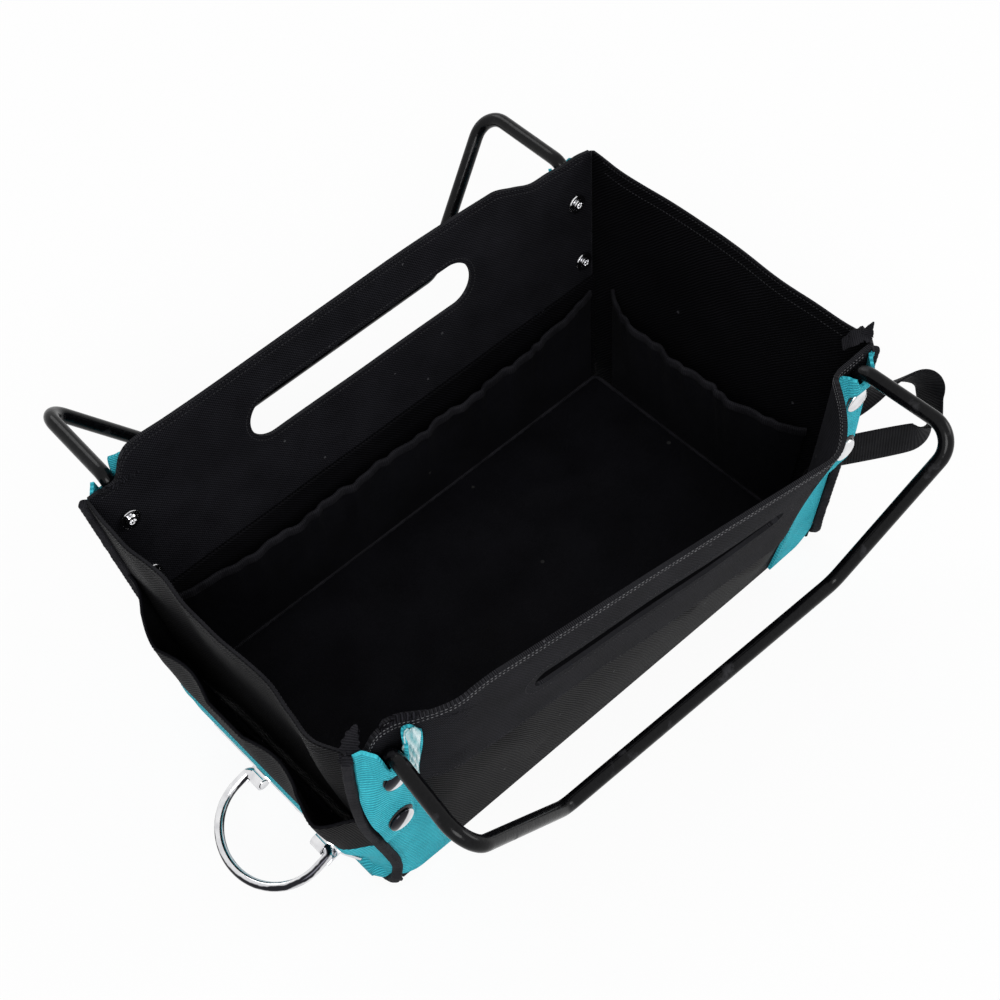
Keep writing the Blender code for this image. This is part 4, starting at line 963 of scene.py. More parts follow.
def tape_finish(name, dark, light, pitch):
    """Grosgrain tape: fine ribs across its length."""
    finish = Finish(name, CLOTH_SHEEN)
    along, around = finish.cut_axes()
    rib = finish.wave(along, pitch) * 0.5 + 0.5
    fibre = finish.speckle(0.0006, 3.0, 0.0, 1.0)
    cloudy = finish.speckle(0.012, 2.0, 0.0, 1.0)
    finish.paint("Base Color", finish.mix(rib * 0.35 + fibre * 0.3 + cloudy * 0.35, dark, light))
    finish.paint("Roughness", 0.70 - rib * 0.15)
    finish.paint("Normal", finish.bump(rib + fibre * 0.4, 0.00018))
    return finish


def rounded_path(corners, radii, steps=12):
    """Points along straight runs whose inner corners are turned as arcs of the given radii."""
    points = [corners[0]]
    for before, corner, after, radius in zip(corners, corners[1:], corners[2:], radii):
        back = (before - corner).normalized()
        ahead = (after - corner).normalized()
        half_turn = back.angle(ahead) / 2
        centre = corner + (back + ahead).normalized() * (radius / math.sin(half_turn))
        first = corner + back * (radius / math.tan(half_turn)) - centre
        last = corner + ahead * (radius / math.tan(half_turn)) - centre
        sweep = first.angle(last)
        for step in range(steps + 1):
            share = step / steps
            part = math.sin((1 - share) * sweep) * first + math.sin(share * sweep) * last
            points.append(centre + part / math.sin(sweep))
    points.append(corners[-1])
    return points


def resample(points, pitch):
    """Evenly spaced points along a path."""
    lengths = [0]
    for first, last in zip(points, points[1:]):
        lengths.append(lengths[-1] + (last - first).length)
    count = max(2, round(lengths[-1] / pitch))
    made = []
    index = 0
    for step in range(count + 1):
        target = lengths[-1] * step / count
        while index < len(points) - 2 and lengths[index + 1] < target:
            index += 1
        run = lengths[index + 1] - lengths[index]
        share = (target - lengths[index]) / run if run else 0
        made.append(points[index].lerp(points[index + 1], min(max(share, 0), 1)))
    return made


def path_frames(points, closed=False):
    """A pair of cross axes at each point, carried along the path without twist."""
    count = len(points)
    frames = []
    across = None
    for index, point in enumerate(points):
        if closed:
            ahead = points[(index + 1) % count] - points[index - 1]
        else:
            ahead = points[min(index + 1, count - 1)] - points[max(index - 1, 0)]
        ahead.normalize()
        if across is None:
            across = ahead.orthogonal().normalized()
        across = (across - ahead * across.dot(ahead)).normalized()
        frames.append((across, ahead.cross(across)))
    return frames


def sweep(name, stations, sides=16, power=2.0, closed=False):
    """A solid along stations, each a centre and two half axes. Power 2 makes an ellipse, and a higher
    power a squarer edge."""
    shell = bmesh.new()
    cut = shell.loops.layers.uv.new("cut")
    rings = []
    travelled = 0
    before = stations[0][0]
    girth = math.tau * (stations[0][1].length + stations[0][2].length) / 2
    for centre, wide, tall in stations:
        travelled += (centre - before).length
        before = centre
        ring = []
        for k in range(sides):
            turn = math.tau * k / sides
            x = math.copysign(abs(math.cos(turn)) ** (2 / power), math.cos(turn))
            y = math.copysign(abs(math.sin(turn)) ** (2 / power), math.sin(turn))
            ring.append(shell.verts.new(centre + wide * x + tall * y))
        rings.append((ring, travelled))
    pairs = list(zip(rings, rings[1:]))
    if closed:
        pairs.append((rings[-1], (rings[0][0], travelled + (stations[0][0] - before).length)))
    for (low, low_run), (high, high_run) in pairs:
        for k in range(sides):
            after = (k + 1) % sides
            face = shell.faces.new((low[k], low[after], high[after], high[k]))
            places = ((low_run, k), (low_run, k + 1), (high_run, k + 1), (high_run, k))
            for loop, (run, step) in zip(face.loops, places):
                loop[cut].uv = (run, girth * step / sides)
    if not closed:
        for ring, run in (rings[0], rings[-1]):
            face = shell.faces.new(ring)
            for loop, vertex in zip(face.loops, ring):
                loop[cut].uv = (run + (vertex.co - ring[0].co).length, 0)
    bmesh.ops.recalc_face_normals(shell, faces=shell.faces)
    piece = mesh_object(name, shell)
    piece.data.set_sharp_from_angle(angle=math.radians(50))
    return piece


def fray(name, tip, spread_axis, ahead, count, length, finish, slot, seed):
    """Loose yarn ends that stand out of a cut edge of tape."""
    chance = random.Random(seed)
    shell = bmesh.new()
    for index in range(count):
        root = tip + spread_axis * ((index + 0.5) / count - 0.5)
        reach = length * chance.uniform(0.5, 1.0)
        lean = spread_axis.normalized() * chance.uniform(-0.5, 0.5)
        lift = ahead.cross(spread_axis).normalized() * chance.uniform(-0.4, 0.4)
        end = root + (ahead.normalized() + lean + lift).normalized() * reach
        side = (end - root).cross(Vector((0.3, 0.5, 0.8))).normalized() * THREAD_RADIUS
        other = (end - root).normalized().cross(side)
        foot = [shell.verts.new(root + side * math.cos(t) + other * math.sin(t)) for t in (0, 2.1, 4.2)]
        point = shell.verts.new(end)
        shell.faces.new(foot)
        for k in range(3):
            shell.faces.new((foot[k], foot[(k + 1) % 3], point))
    bmesh.ops.recalc_face_normals(shell, faces=shell.faces)
    attach(mesh_object(name, shell), slot, finish)


black_tape = tape_finish("black_tape", (0.0012, 0.0012, 0.0018, 1), (0.024, 0.0235, 0.028, 1), TAPE_RIB)


def binding_place(end, side, level):
    """Beside the corner seam, just outside the end wall's edge."""
    reach = half_length(level) + BINDING_END_OFFSET * math.cos(END_LEAN)
    return Vector((
        end * reach, side * (half_width(level) + BINDING_SIDE_OFFSET),
        level - BINDING_END_OFFSET * math.sin(END_LEAN),
    ))


for end, name in ((-1, "left_end_binding"), (1, "right_end_binding")):
    foot_level = BINDING_RADIUS + GAP
    foot_x = end * (
        half_length(foot_level) + (WALL_THICKNESS + GAP + BINDING_RADIUS) * math.cos(END_LEAN)
    )
    runs = []
    for side in (-1, 1):
        down = [
            binding_place(end, side, level)
            for level in spread(BINDING_TOPS[end, side], 2 * BINDING_BENDS[end, side], 12)
        ]
        corner = binding_place(end, side, foot_level)
        corner.x = foot_x
        corner.z = foot_level
        runs.append((down, corner))
    turn = rounded_path(
        [runs[0][0][-1], runs[0][1], runs[1][1], runs[1][0][-1]],
        [BINDING_BENDS[end, -1], BINDING_BENDS[end, 1]],
    )
    route = resample(runs[0][0][:-1] + turn + runs[1][0][:-1][::-1], TAPE_STEP)
    stations = []
    for index, (point, (across, aside)) in enumerate(zip(route, path_frames(route))):
        rib = 1 + 0.035 * math.sin(index * 2.1) + 0.05 * ripple((index * TAPE_STEP, 0), 0.006, end)
        stations.append((point, across * BINDING_RADIUS * rib * 0.96, aside * BINDING_RADIUS * rib))
    binding = sweep(name + "_tape", stations, 20, 3.2)
    attach(binding, "black_binding", black_tape, name)

# Tape ends
# The binding's cut ends are folded in over the front corners. The right one is torn, with a stiff point
# and loose yarns.
TAPE_THICKNESS = 0.0011
TAPE_ENDS = {
    "front_left_tape_end": (
        (
            (-0.1722, -0.1020, 0.1670), (-0.1685, -0.0990, 0.1715), (-0.1645, -0.0963, 0.1738),
            (-0.1606, -0.0943, 0.1748),
        ),
        (0.0040, 0.0042, 0.0028, 0.0007), (-0.7, 0.7, 0.15),
    ),
    "front_right_tape_end": (
        (
            (0.1705, -0.1025, 0.1570), (0.1712, -0.0990, 0.1630), (0.1690, -0.0960, 0.1655),
            (0.1650, -0.0925, 0.1625), (0.1622, -0.0893, 0.1575),
        ),
        (0.0028, 0.0038, 0.0046, 0.0048, 0.0034), (0.7, 0.7, 0.1),
    ),
    "front_right_torn_point": (
        ((0.1700, -0.0975, 0.1645), (0.1716, -0.0975, 0.1685), (0.1736, -0.0982, 0.1722)),
        (0.0036, 0.0020, 0.0004), (0.7, -0.6, 0.3),
    ),
}


def folded_tape(name, points, half_widths, wide_axis):
    """Flat tape along a few points, crumpled a little across its width."""
    route = []
    for (first, low), (last, high) in zip(zip(points, half_widths), zip(points[1:], half_widths[1:])):
        for share in spread(0, 1, 8)[:-1]:
            route.append((Vector(first).lerp(Vector(last), share), share_between(low, high, share)))
    route.append((Vector(points[-1]), half_widths[-1]))
    stations = []
    for index, (point, half_width) in enumerate(route):
        ahead = route[min(index + 1, len(route) - 1)][0] - route[max(index - 1, 0)][0]
        ahead.normalize()
        wide = Vector(wide_axis)
        wide = (wide - ahead * wide.dot(ahead)).normalized()
        crumple = 1 + 0.16 * ripple((index * 0.4, half_width * 300), 1.0, 2)
        stations.append((point, wide * half_width * crumple, ahead.cross(wide) * TAPE_THICKNESS / 2))
    return sweep(name, stations, 20, 3.0)


for name, (points, half_widths, wide_axis) in TAPE_ENDS.items():
    attach(folded_tape(name, points, half_widths, wide_axis), "black_binding", black_tape)
fray(
    "front_right_loose_yarns", Vector((0.1640, -0.0915, 0.1640)), Vector((0.006, 0.004, 0.002)),
    Vector((0.0, 0.2, 1)), 12, 0.0026, black_tape, "black_binding", 4,
)
fray(
    "front_left_loose_yarns", Vector((-0.1640, -0.0958, 0.1740)), Vector((-0.005, 0.004, 0)),
    Vector((0.5, 0.5, 0.6)), 9, 0.0022, black_tape, "black_binding", 7,
)

# Satin flap
# A scrap of glossy lining that shows beside the front left rod, tucked behind the corner panel's edge. Its
# pale streaks are painted highlights.
FLAP_LEVELS = (
    (0.1190, 0.1379, 0.1376), (0.1350, 0.1418, 0.1362), (0.1500, 0.1462, 0.1350),
    (0.1590, 0.1494, 0.1345), (0.1625, 0.1470, 0.1348), (0.1665, 0.1402, 0.1366),
)
FLAP_THICKNESS = 0.0006
FLAP_WIDTH = 0.014
FLAP_HEIGHT = 0.047
FLAP_CUT = (0.018, 0.055)
FLAP_PUFF = 0.0007
FLAP_CRINKLE = 0.0003
SATIN_STREAK = 0.0052


def flap_place(share, rise):
    level = share_between(FLAP_LEVELS[0][0], FLAP_LEVELS[-1][0], rise)
    far = curve_value([row[:2] for row in FLAP_LEVELS], level)
    near = curve_value([(row[0], row[2]) for row in FLAP_LEVELS], level)
    along = share_between(far, near, share)
    puff = FLAP_PUFF * math.sin(math.pi * share) + FLAP_CRINKLE * math.sin(along * 2600 + level * 400)
    offset = corner_offset(along, min(level, CORNER_TOP_FLAT)) + CORNER_THICKNESS + GAP
    return long_wall(-1, -along, level, offset + max(puff, 0))


def flap_cut(share, rise):
    return (share * FLAP_WIDTH, rise * FLAP_HEIGHT)


def satin(name):
    """Creased satin, with pale streaks painted in as highlights where it catches the light, fading towards
    plain teal at the top.
    """
    finish = Finish(name, {"Specular IOR Level": 0.6, "Sheen Weight": 0.1})
    along, up = finish.cut_axes()
    streak = finish.wave(along + up * 0.25, SATIN_STREAK) * 0.5 + 0.5
    crinkle = finish.speckle(0.004, 3.0, 0.0, 1.0)
    tone = streak * 0.6 + crinkle * 0.4
    # Painted highlight: the streaks run from teal to near white, and the upper part fades into plain teal.
    colour = finish.mix(tone, (0.12, 0.44, 0.48, 1), (0.80, 0.90, 0.91, 1))
    finish.paint("Base Color", finish.mix(up * 26 - 1.0, colour, (0.10, 0.48, 0.53, 1)))
    finish.paint("Roughness", 0.38 - streak * 0.14)
    finish.paint("Normal", finish.bump(streak * 0.7 + crinkle * 0.3, 0.0008))
    return finish


flap = sheet_object("front_left_satin_flap", flap_place, spread(0, 1, 16), spread(0, 1, 40), flap_cut)
thicken(flap, long_normal(-1), FLAP_THICKNESS)
attach(flap, "teal_cloth", satin("satin_teal_painted_highlight"))
cloth_sheet(flap, FLAP_CUT)

# Floor seam
# Thin tape over the seam where the walls meet the floor, drawn up unevenly by its stitches.
FLOOR_SEAM_RADIUS = 0.0014
SEAM_STEP = 0.0016
seam_inset = GAP + FLOOR_SEAM_RADIUS
seam_x = half_length(0) - seam_inset
seam_y = half_width(0) - seam_inset
seam_corners = [Vector((x, y, FLOOR_TOP + GAP + FLOOR_SEAM_RADIUS)) for x, y in (
    (0, -seam_y), (seam_x, -seam_y), (seam_x, seam_y), (-seam_x, seam_y), (-seam_x, -seam_y), (0, -seam_y),
)]
seam_route = resample(rounded_path(seam_corners, [BASE_CORNER_RADIUS] * 4), SEAM_STEP)[:-1]
seam_stations = []
for index, (point, (across, aside)) in enumerate(zip(seam_route, path_frames(seam_route, True))):
    pucker = 0.85 + 0.12 * math.sin(index * 1.7) + 0.06 * ripple((index * SEAM_STEP, 0), 0.008, 3)
    seam_stations.append((point, across * FLOOR_SEAM_RADIUS * pucker, aside * FLOOR_SEAM_RADIUS * pucker))
seam = sweep("floor_seam_tape", seam_stations, 10, 2.0, True)
attach(seam, "black_binding", black_tape, "floor_seam_binding")

# Inner pockets
# Gathered pockets inside the back wall and the right end. Elastic in their bound upper edges draws
# them into pleats that fade towards the foot.
POCKET_THICKNESS = 0.0012
POCKET_MARGIN = 0.006
POCKET_FOOT_GAP = 0.0008
POCKET_BOTTOM = FLOOR_TOP + 2 * FLOOR_SEAM_RADIUS + 2 * GAP
BACK_POCKET_TOP = 0.073
BACK_POCKET_BULGE = 0.010
RIGHT_POCKET_TOP = 0.080
RIGHT_POCKET_BULGE = 0.014
PLEAT_DEPTH = 0.0016
FINE_PLEAT = 0.0021
BROAD_PLEAT = 0.0062
POCKET_BAND = 0.0030
ELASTIC_HALF_THICKNESS = 0.0013


def pleats(distance, rise, seed):
    """Uneven pleats: deep and close at the elastic edge, few and soft below."""
    fine = math.sin(distance / FINE_PLEAT + 2.5 * ripple((distance, 0), 0.020, seed))
    broad = math.sin(distance / BROAD_PLEAT + 3.0 * ripple((distance, 0), 0.045, seed + 1))
    return PLEAT_DEPTH * (0.45 * fine * rise ** 2 + 0.75 * broad * rise)


def pocket_on(wall, half_span, margin, top, bulge, seed):
    """The place function of a pocket that is sewn to the inner face of a wall."""
    def place(share, rise):
        level = share_between(POCKET_BOTTOM, top, rise)
        reach = half_span(level) - margin
        open_share = 1 - share ** 4
        swell = POCKET_FOOT_GAP + (bulge * rise + 0.5 * PLEAT_DEPTH) * open_share
        swell += pleats(share * reach, rise, seed) * open_share * smooth_share(rise, 0, 0.3)
        return wall(1, share * reach, level, -GAP - POCKET_THICKNESS - max(swell, POCKET_FOOT_GAP))

    return place


back_pocket_place = pocket_on(
    long_wall, half_length, POCKET_MARGIN, BACK_POCKET_TOP, BACK_POCKET_BULGE, 1,
)
right_pocket_place = pocket_on(
    end_wall, half_width, POCKET_MARGIN + BACK_POCKET_BULGE, RIGHT_POCKET_TOP, RIGHT_POCKET_BULGE, 5,
)

for name, place, inward, length, height, cut in (
    ("back_inner_pocket", back_pocket_place, -long_normal(1), BASE_LENGTH, BACK_POCKET_TOP, (0.400, 0.070)),
    ("right_inner_pocket", right_pocket_place, -end_normal(1), BASE_WIDTH, RIGHT_POCKET_TOP, (0.230, 0.078)),
):
    band_name = name + "_elastic"

    def pocket_cut(share, rise, length=length, height=height):
        return (share * length / 2, rise * height)

    pocket = sheet_object(name + "_cloth", place, spread(-1, 1, 260), spread(0, 1, 40), pocket_cut)
    thicken(pocket, -inward, POCKET_THICKNESS, 0.4)
    attach(pocket, "black_cloth", lining_black, name)
    cloth_sheet(pocket, cut)
    edge = [place(share, 1) for share in spread(-1, 1, 260)]
    stations = []
    for point, before, after in zip(edge, edge[:1] + edge, edge[1:] + edge[-1:]):
        ahead = (after - before).normalized()
        rise_axis = (Vector((0, 0, 1)) - ahead * ahead.z).normalized()
        centre = point - inward * POCKET_THICKNESS / 2 - rise_axis * POCKET_BAND * 0.6
        stations.append((centre, rise_axis * POCKET_BAND, ahead.cross(rise_axis) * ELASTIC_HALF_THICKNESS))
    band = sweep(band_name, stations, 14, 3.0)
    attach(band, "black_binding", black_tape)

# Gaping pocket
# On the left end a coloured lower panel carries the hammer loop's plate, and a black ribbed band above
# it stands open in three scallops.
END_POCKET_THICKNESS = 0.0018
END_POCKET_OFFSET = WALL_THICKNESS + GAP
END_POCKET_BOTTOM = 2 * BINDING_RADIUS + END_POCKET_THICKNESS + 2 * GAP
END_POCKET_LAP = END_WALL_LAP - END_POCKET_THICKNESS
END_POCKET_RIDGE = 0.052
END_POCKET_SEAM = 0.062
END_POCKET_LIP = 0.103
END_POCKET_BULGES = (0, 0.0151, 0.0146, 0.0155)
END_POCKET_SAG = 0.0046
HEM_FLARE = 0.0066
HEM_FLARE_TOP = 0.0185
POCKET_CREASES = (
    ((-0.0790, 0.057), (-0.0805, 0.012), 0.0024, -0.0015),
    ((-0.0845, 0.050), (-0.0850, 0.018), 0.0024, 0.0010),
    ((0.0430, 0.057), (0.0600, 0.014), 0.0048, -0.0013),
)
END_POCKET_FRONT_SHARE = 0.84
END_POCKET_REAR_SHARE = 0.50
SCALLOP_DEPTH = 0.0034
SCALLOP_LIMIT = 0.0012
SCALLOP_TURN = 8.6
SCALLOP_START = 0.6
END_POCKET_SEAM_ROW = 0.0022
END_POCKET_LIP_ROW = 0.0020
END_POCKET_CUTS = {"end_pocket_panel": (0.215, 0.062), "end_pocket_band": (0.222, 0.046)}


def end_pocket_bulge(level):
    """The pocket stands off most at the hammer loop's hinge, and its hem flares over the binding."""
    level = max(level, END_POCKET_BOTTOM)
    flare = HEM_FLARE * (1 - smooth_share(level, END_POCKET_BOTTOM, HEM_FLARE_TOP))
    levels = (END_POCKET_BOTTOM, END_POCKET_RIDGE, END_POCKET_SEAM, END_POCKET_LIP)
    for index in range(3):
        low, high = levels[index], levels[index + 1]
        if level <= high:
            share = (level - low) / (high - low)
            return flare + share_between(END_POCKET_BULGES[index], END_POCKET_BULGES[index + 1], share)
    return END_POCKET_BULGES[-1]


def end_pocket_place(share, level):
    plateau = END_POCKET_FRONT_SHARE if share < 0 else END_POCKET_REAR_SHARE
    flat = 1 - smooth_share(abs(share), plateau, 1)
    low = 1 - smooth_share(level, END_POCKET_BOTTOM, END_POCKET_RIDGE)
    level -= END_POCKET_SAG * low * smooth_share(flat, 0.90, 1)
    reach = half_width(level) + END_POCKET_LAP
    above = smooth_share(level, END_POCKET_SEAM, END_POCKET_LIP)
    scallop = SCALLOP_DEPTH * above * flat * math.cos(share * SCALLOP_TURN + SCALLOP_START)
    scallop += sum(crease(share * reach, level, *fold) for fold in POCKET_CREASES) * flat
    offset = END_POCKET_OFFSET + end_pocket_bulge(level) * flat + min(scallop, SCALLOP_LIMIT)
    flat_point = Vector((-half_length(level), share * reach, level))
    return flat_point + end_normal(-1) * offset


def end_pocket_cut(share, level):
    return (share * RIM_WIDTH / 2, level)


end_columns = spread(-1, 1, 120)
for name, low, high, count, finish, slot in (
    ("end_pocket_panel", END_POCKET_BOTTOM, END_POCKET_SEAM - GAP, 46, teal, "teal_cloth"),
    ("end_pocket_band", END_POCKET_SEAM, END_POCKET_LIP, 36, ribbed_black, "black_binding"),
):
    levels = spread(low, high, count)
    piece = sheet_object(name + "_cloth", end_pocket_place, end_columns, levels, end_pocket_cut)
    thicken(piece, end_normal(-1), END_POCKET_THICKNESS, 0.35)
    attach(piece, slot, finish, name)
    piece.data.materials.append(lining_black.material)
    piece.modifiers["thickness"].material_offset = 1
    piece.modifiers["thickness"].material_offset_rim = 1
    cloth_sheet(piece, END_POCKET_CUTS[name])
for name, level, finish, slot in (
    ("end_pocket_panel_stitches", END_POCKET_SEAM - END_POCKET_SEAM_ROW, teal_thread, "teal_cloth"),
    ("end_pocket_band_stitches", END_POCKET_LIP - END_POCKET_LIP_ROW, black_thread, "black_binding"),
):
    row = []
    for share in spread(-0.97, 0.97, 70):
        here = end_pocket_place(share, level) + end_normal(-1) * END_POCKET_THICKNESS
        row.append((here, end_normal(-1)))
    stitches(name, [row], finish, slot)

# Ladder hooks
# Bent 8 mm steel rods under a thick glossy black coat. Their legs are pressed flat inside the corner
# panels, so that they can be riveted.
HOOK_ARM_LEVEL = 0.161
HOOK_ARM_LENGTH = 0.0583
HOOK_DROP = 0.0754
HOOK_DROP_ANGLE = math.radians(98)
HOOK_BAR_HALF_LENGTH = 0.0925
HOOK_EXIT_RADIUS = 0.008
HOOK_CORNER_RADIUS = 0.014
HOOK_BAR_BEND_RADIUS = 0.012
HOOK_FLAT_RUN = 0.004
ROD_STEP = 0.0016
# The rods are bent by hand, so no arm ends quite where the drawing has it.
ELBOW_SHIFTS = {
    (-1, -1): (-0.0060, 0.0, 0.0), (-1, 1): (0.0040, -0.0030, 0.0),
    (1, -1): (0.0030, 0.0085, 0.0015), (1, 1): (0.0030, 0.0098, 0.0020),
}
HOOK_INSIDE = HANDLE_OUTSIDE + GAP
HOOK_OFFSET = HOOK_INSIDE + ROD_RADIUS


def long_up(side):
    return Vector((0, side * math.sin(LONG_LEAN), math.cos(LONG_LEAN)))


def flat_long_wall(side, along, level, offset):
    """A point off the long wall where it is flat, beside the hooks' legs."""
    return Vector((along, side * half_width(level), level)) + long_normal(side) * offset


def hook_half(side, end):
    """One leg up its sleeve, out along the arm, and down and inwards to the straight bar."""
    normal = long_normal(side)
    fall = normal * math.cos(HOOK_DROP_ANGLE) - long_up(side) * math.sin(HOOK_DROP_ANGLE)
    foot = flat_long_wall(side, end * HOOK_HALF_SPAN, HOOK_LEG_BOTTOM, HOOK_OFFSET)
    shoulder = flat_long_wall(side, end * HOOK_HALF_SPAN, HOOK_ARM_LEVEL, HOOK_OFFSET)
    elbow = shoulder + normal * HOOK_ARM_LENGTH + Vector(ELBOW_SHIFTS[(side, end)])
    knee = elbow + fall * HOOK_DROP
    knee.x = end * HOOK_BAR_HALF_LENGTH
    return [foot, shoulder, elbow, knee]


def hook_route(side):
    bends = [HOOK_EXIT_RADIUS, HOOK_CORNER_RADIUS, HOOK_BAR_BEND_RADIUS]
    return rounded_path(hook_half(side, -1) + hook_half(side, 1)[::-1], bends + bends[::-1])


def flatten_legs(piece, side):
    """Press both legs flat against the handle panel, wider than the rod, below the exit bend."""
    normal = long_normal(side)
    up = long_up(side)
    inside = flat_long_wall(side, 0, 0, HOOK_INSIDE)
    start = (flat_long_wall(side, 0, HOOK_ARM_LEVEL, HOOK_OFFSET) - inside).dot(up) - HOOK_EXIT_RADIUS
    thinning = HOOK_FLAT_THICKNESS / (2 * ROD_RADIUS)
    widening = HOOK_FLAT_WIDTH / (2 * ROD_RADIUS)
    for vertex in piece.data.vertices:
        depth = (vertex.co - inside).dot(normal)
        rise = (vertex.co - inside).dot(up)
        if depth > 2 * ROD_RADIUS + GAP or rise > start + GAP:
            continue
        share = smooth_share(start - rise, 0, HOOK_FLAT_RUN)
        vertex.co -= normal * depth * (1 - thinning) * share
        centre = math.copysign(HOOK_HALF_SPAN, vertex.co.x)
        vertex.co.x = centre + (vertex.co.x - centre) * share_between(1, widening, share)


def coated_steel(name):
    """Thick black dip coat with slight orange peel, and bare rubbed spots scattered at random."""
    finish = Finish(name, {"Specular IOR Level": 0.09, "Coat Roughness": 0.06, "Coat IOR": 1.28})
    peel = finish.speckle(0.004, 2.0, 0.0, 1.0)
    dust = finish.speckle(0.0012, 4.0, 0.0, 1.0)
    rub = peel.math("MAXIMUM", finish.speckle(0.010, 5.0, -5.2, 1.6), 0.0)
    colour = finish.mix(dust * 0.5, (0.0012, 0.0012, 0.0016, 1), (0.0060, 0.0060, 0.0070, 1))
    finish.paint("Base Color", finish.mix(rub * 0.5, colour, (0.030, 0.030, 0.033, 1)))
    finish.paint("Roughness", 0.20 + dust * 0.07 + rub * 0.15)
    finish.paint("Coat Weight", 0.30 - rub * 0.15)
    finish.paint("Normal", finish.bump(peel + dust * 0.1, 0.00008))
    return finish


black_rod = coated_steel("black_coated_steel")
for side, name in ((-1, "front_ladder_hook"), (1, "back_ladder_hook")):
    route = resample(hook_route(side), ROD_STEP)
    stations = [
        (point, across * ROD_RADIUS, aside * ROD_RADIUS)
        for point, (across, aside) in zip(route, path_frames(route))
    ]
    hook = sweep(name + "_rod", stations, 28)
    flatten_legs(hook, side)
    attach(hook, "black_rod", black_rod, name)

# Hook rivets
# Domed chromed rivets through panel, leg and handle panel, flared over a washer inside the bag. A dark disc
# under each head is painted shade.
RIVET_HEAD_RADIUS = 0.0070
RIVET_HEAD_HEIGHT = 0.0028
RIVET_HEAD_RIM = 0.0006
RIVET_SHANK_RADIUS = 0.0024
RIVET_FLARE_RADIUS = 0.0036
RIVET_FLARE_HEIGHT = 0.0009
WASHER_RADIUS = 0.0058
WASHER_THICKNESS = 0.0012
RIVET_HEAD_OFFSET = CORNER_HUMP + CORNER_THICKNESS + 2 * GAP
ROUND_STEPS = 48
# A dark disc under each head, shifted upwards, is painted shade.
SHADE_DISC_RADIUS = 0.0074
SHADE_DISC_RISE = 0.0024
SCRATCH_SCALE = (900, 120, 900)


def chromed_metal(name, painted_reflection=None):
    """Bright plating with hairline scratches and faint smears. Where a mask is given, dark reflections are
    painted into its colour.
    """
    finish = Finish(name, {"Metallic": 1.0})
    smear = finish.speckle(0.006, 3.0, 0.0, 1.0)
    drawn_out = finish.node("ShaderNodeMapping", {}, {"Vector": finish.place(), "Scale": SCRATCH_SCALE})
    scratch = finish.node("ShaderNodeTexNoise", {}, {"Vector": drawn_out, "Scale": 1.0, "Detail": 4.0})
    colour = finish.mix(smear, (0.62, 0.62, 0.64, 1), (0.84, 0.84, 0.85, 1))
    if painted_reflection:
        # Painted reflection: near-black colour where the mask says, standing in for dark surroundings seen
        # in the chrome.
        colour = finish.mix(painted_reflection(finish, smear), colour, (0.020, 0.020, 0.024, 1))
    finish.paint("Base Color", colour)
    finish.paint("Roughness", 0.06 + smear * 0.07 + scratch * 0.06)
    finish.paint("Normal", finish.bump(scratch, 0.00002))
    return finish


def turned_piece(name, profile, centre, direction, finish, slot, *nodes):
    """Revolve a profile of (radius, height) about direction."""
    shell = bmesh.new()
    rings = []
    for radius, height in profile:
        if radius == 0:
            rings.append([shell.verts.new((0, 0, height))])
            continue
        rings.append([
            shell.verts.new((
                radius * math.cos(math.tau * k / ROUND_STEPS), radius * math.sin(math.tau * k / ROUND_STEPS),
                height,
            ))
            for k in range(ROUND_STEPS)
        ])
    for low, high in zip(rings, rings[1:]):
        for k in range(ROUND_STEPS):
            after = (k + 1) % ROUND_STEPS
            if len(low) == 1:
                shell.faces.new((low[0], high[k], high[after]))
            elif len(high) == 1:
                shell.faces.new((low[k], high[0], low[after]))
            else:
                shell.faces.new((low[k], high[k], high[after], low[after]))
    bmesh.ops.recalc_face_normals(shell, faces=shell.faces)
    cut = shell.loops.layers.uv.new("cut")
    for face in shell.faces:
        for loop in face.loops:
            loop[cut].uv = loop.vert.co.xy
    piece = mesh_object(name, shell)
    piece.data.set_sharp_from_angle(angle=math.radians(35))
    turn = direction.to_track_quat("Z", "Y").to_matrix().to_4x4()
    piece.data.transform(Matrix.Translation(centre) @ turn)
    attach(piece, slot, finish, *nodes)


def head_painted_reflection(finish, smear):
    """Painted reflection: a head's colour is darkened over its upper left part, with an uneven edge, for the
    dark surroundings seen in the dome.
    """
    right, up = finish.cut_axes()
    edge = (up - right * 0.9) * (5 / RIVET_HEAD_RADIUS) + smear * 1.4 - 1.3
    return finish.node("ShaderNodeClamp", {}, {"Value": edge})


chrome = chromed_metal("chrome_plate")
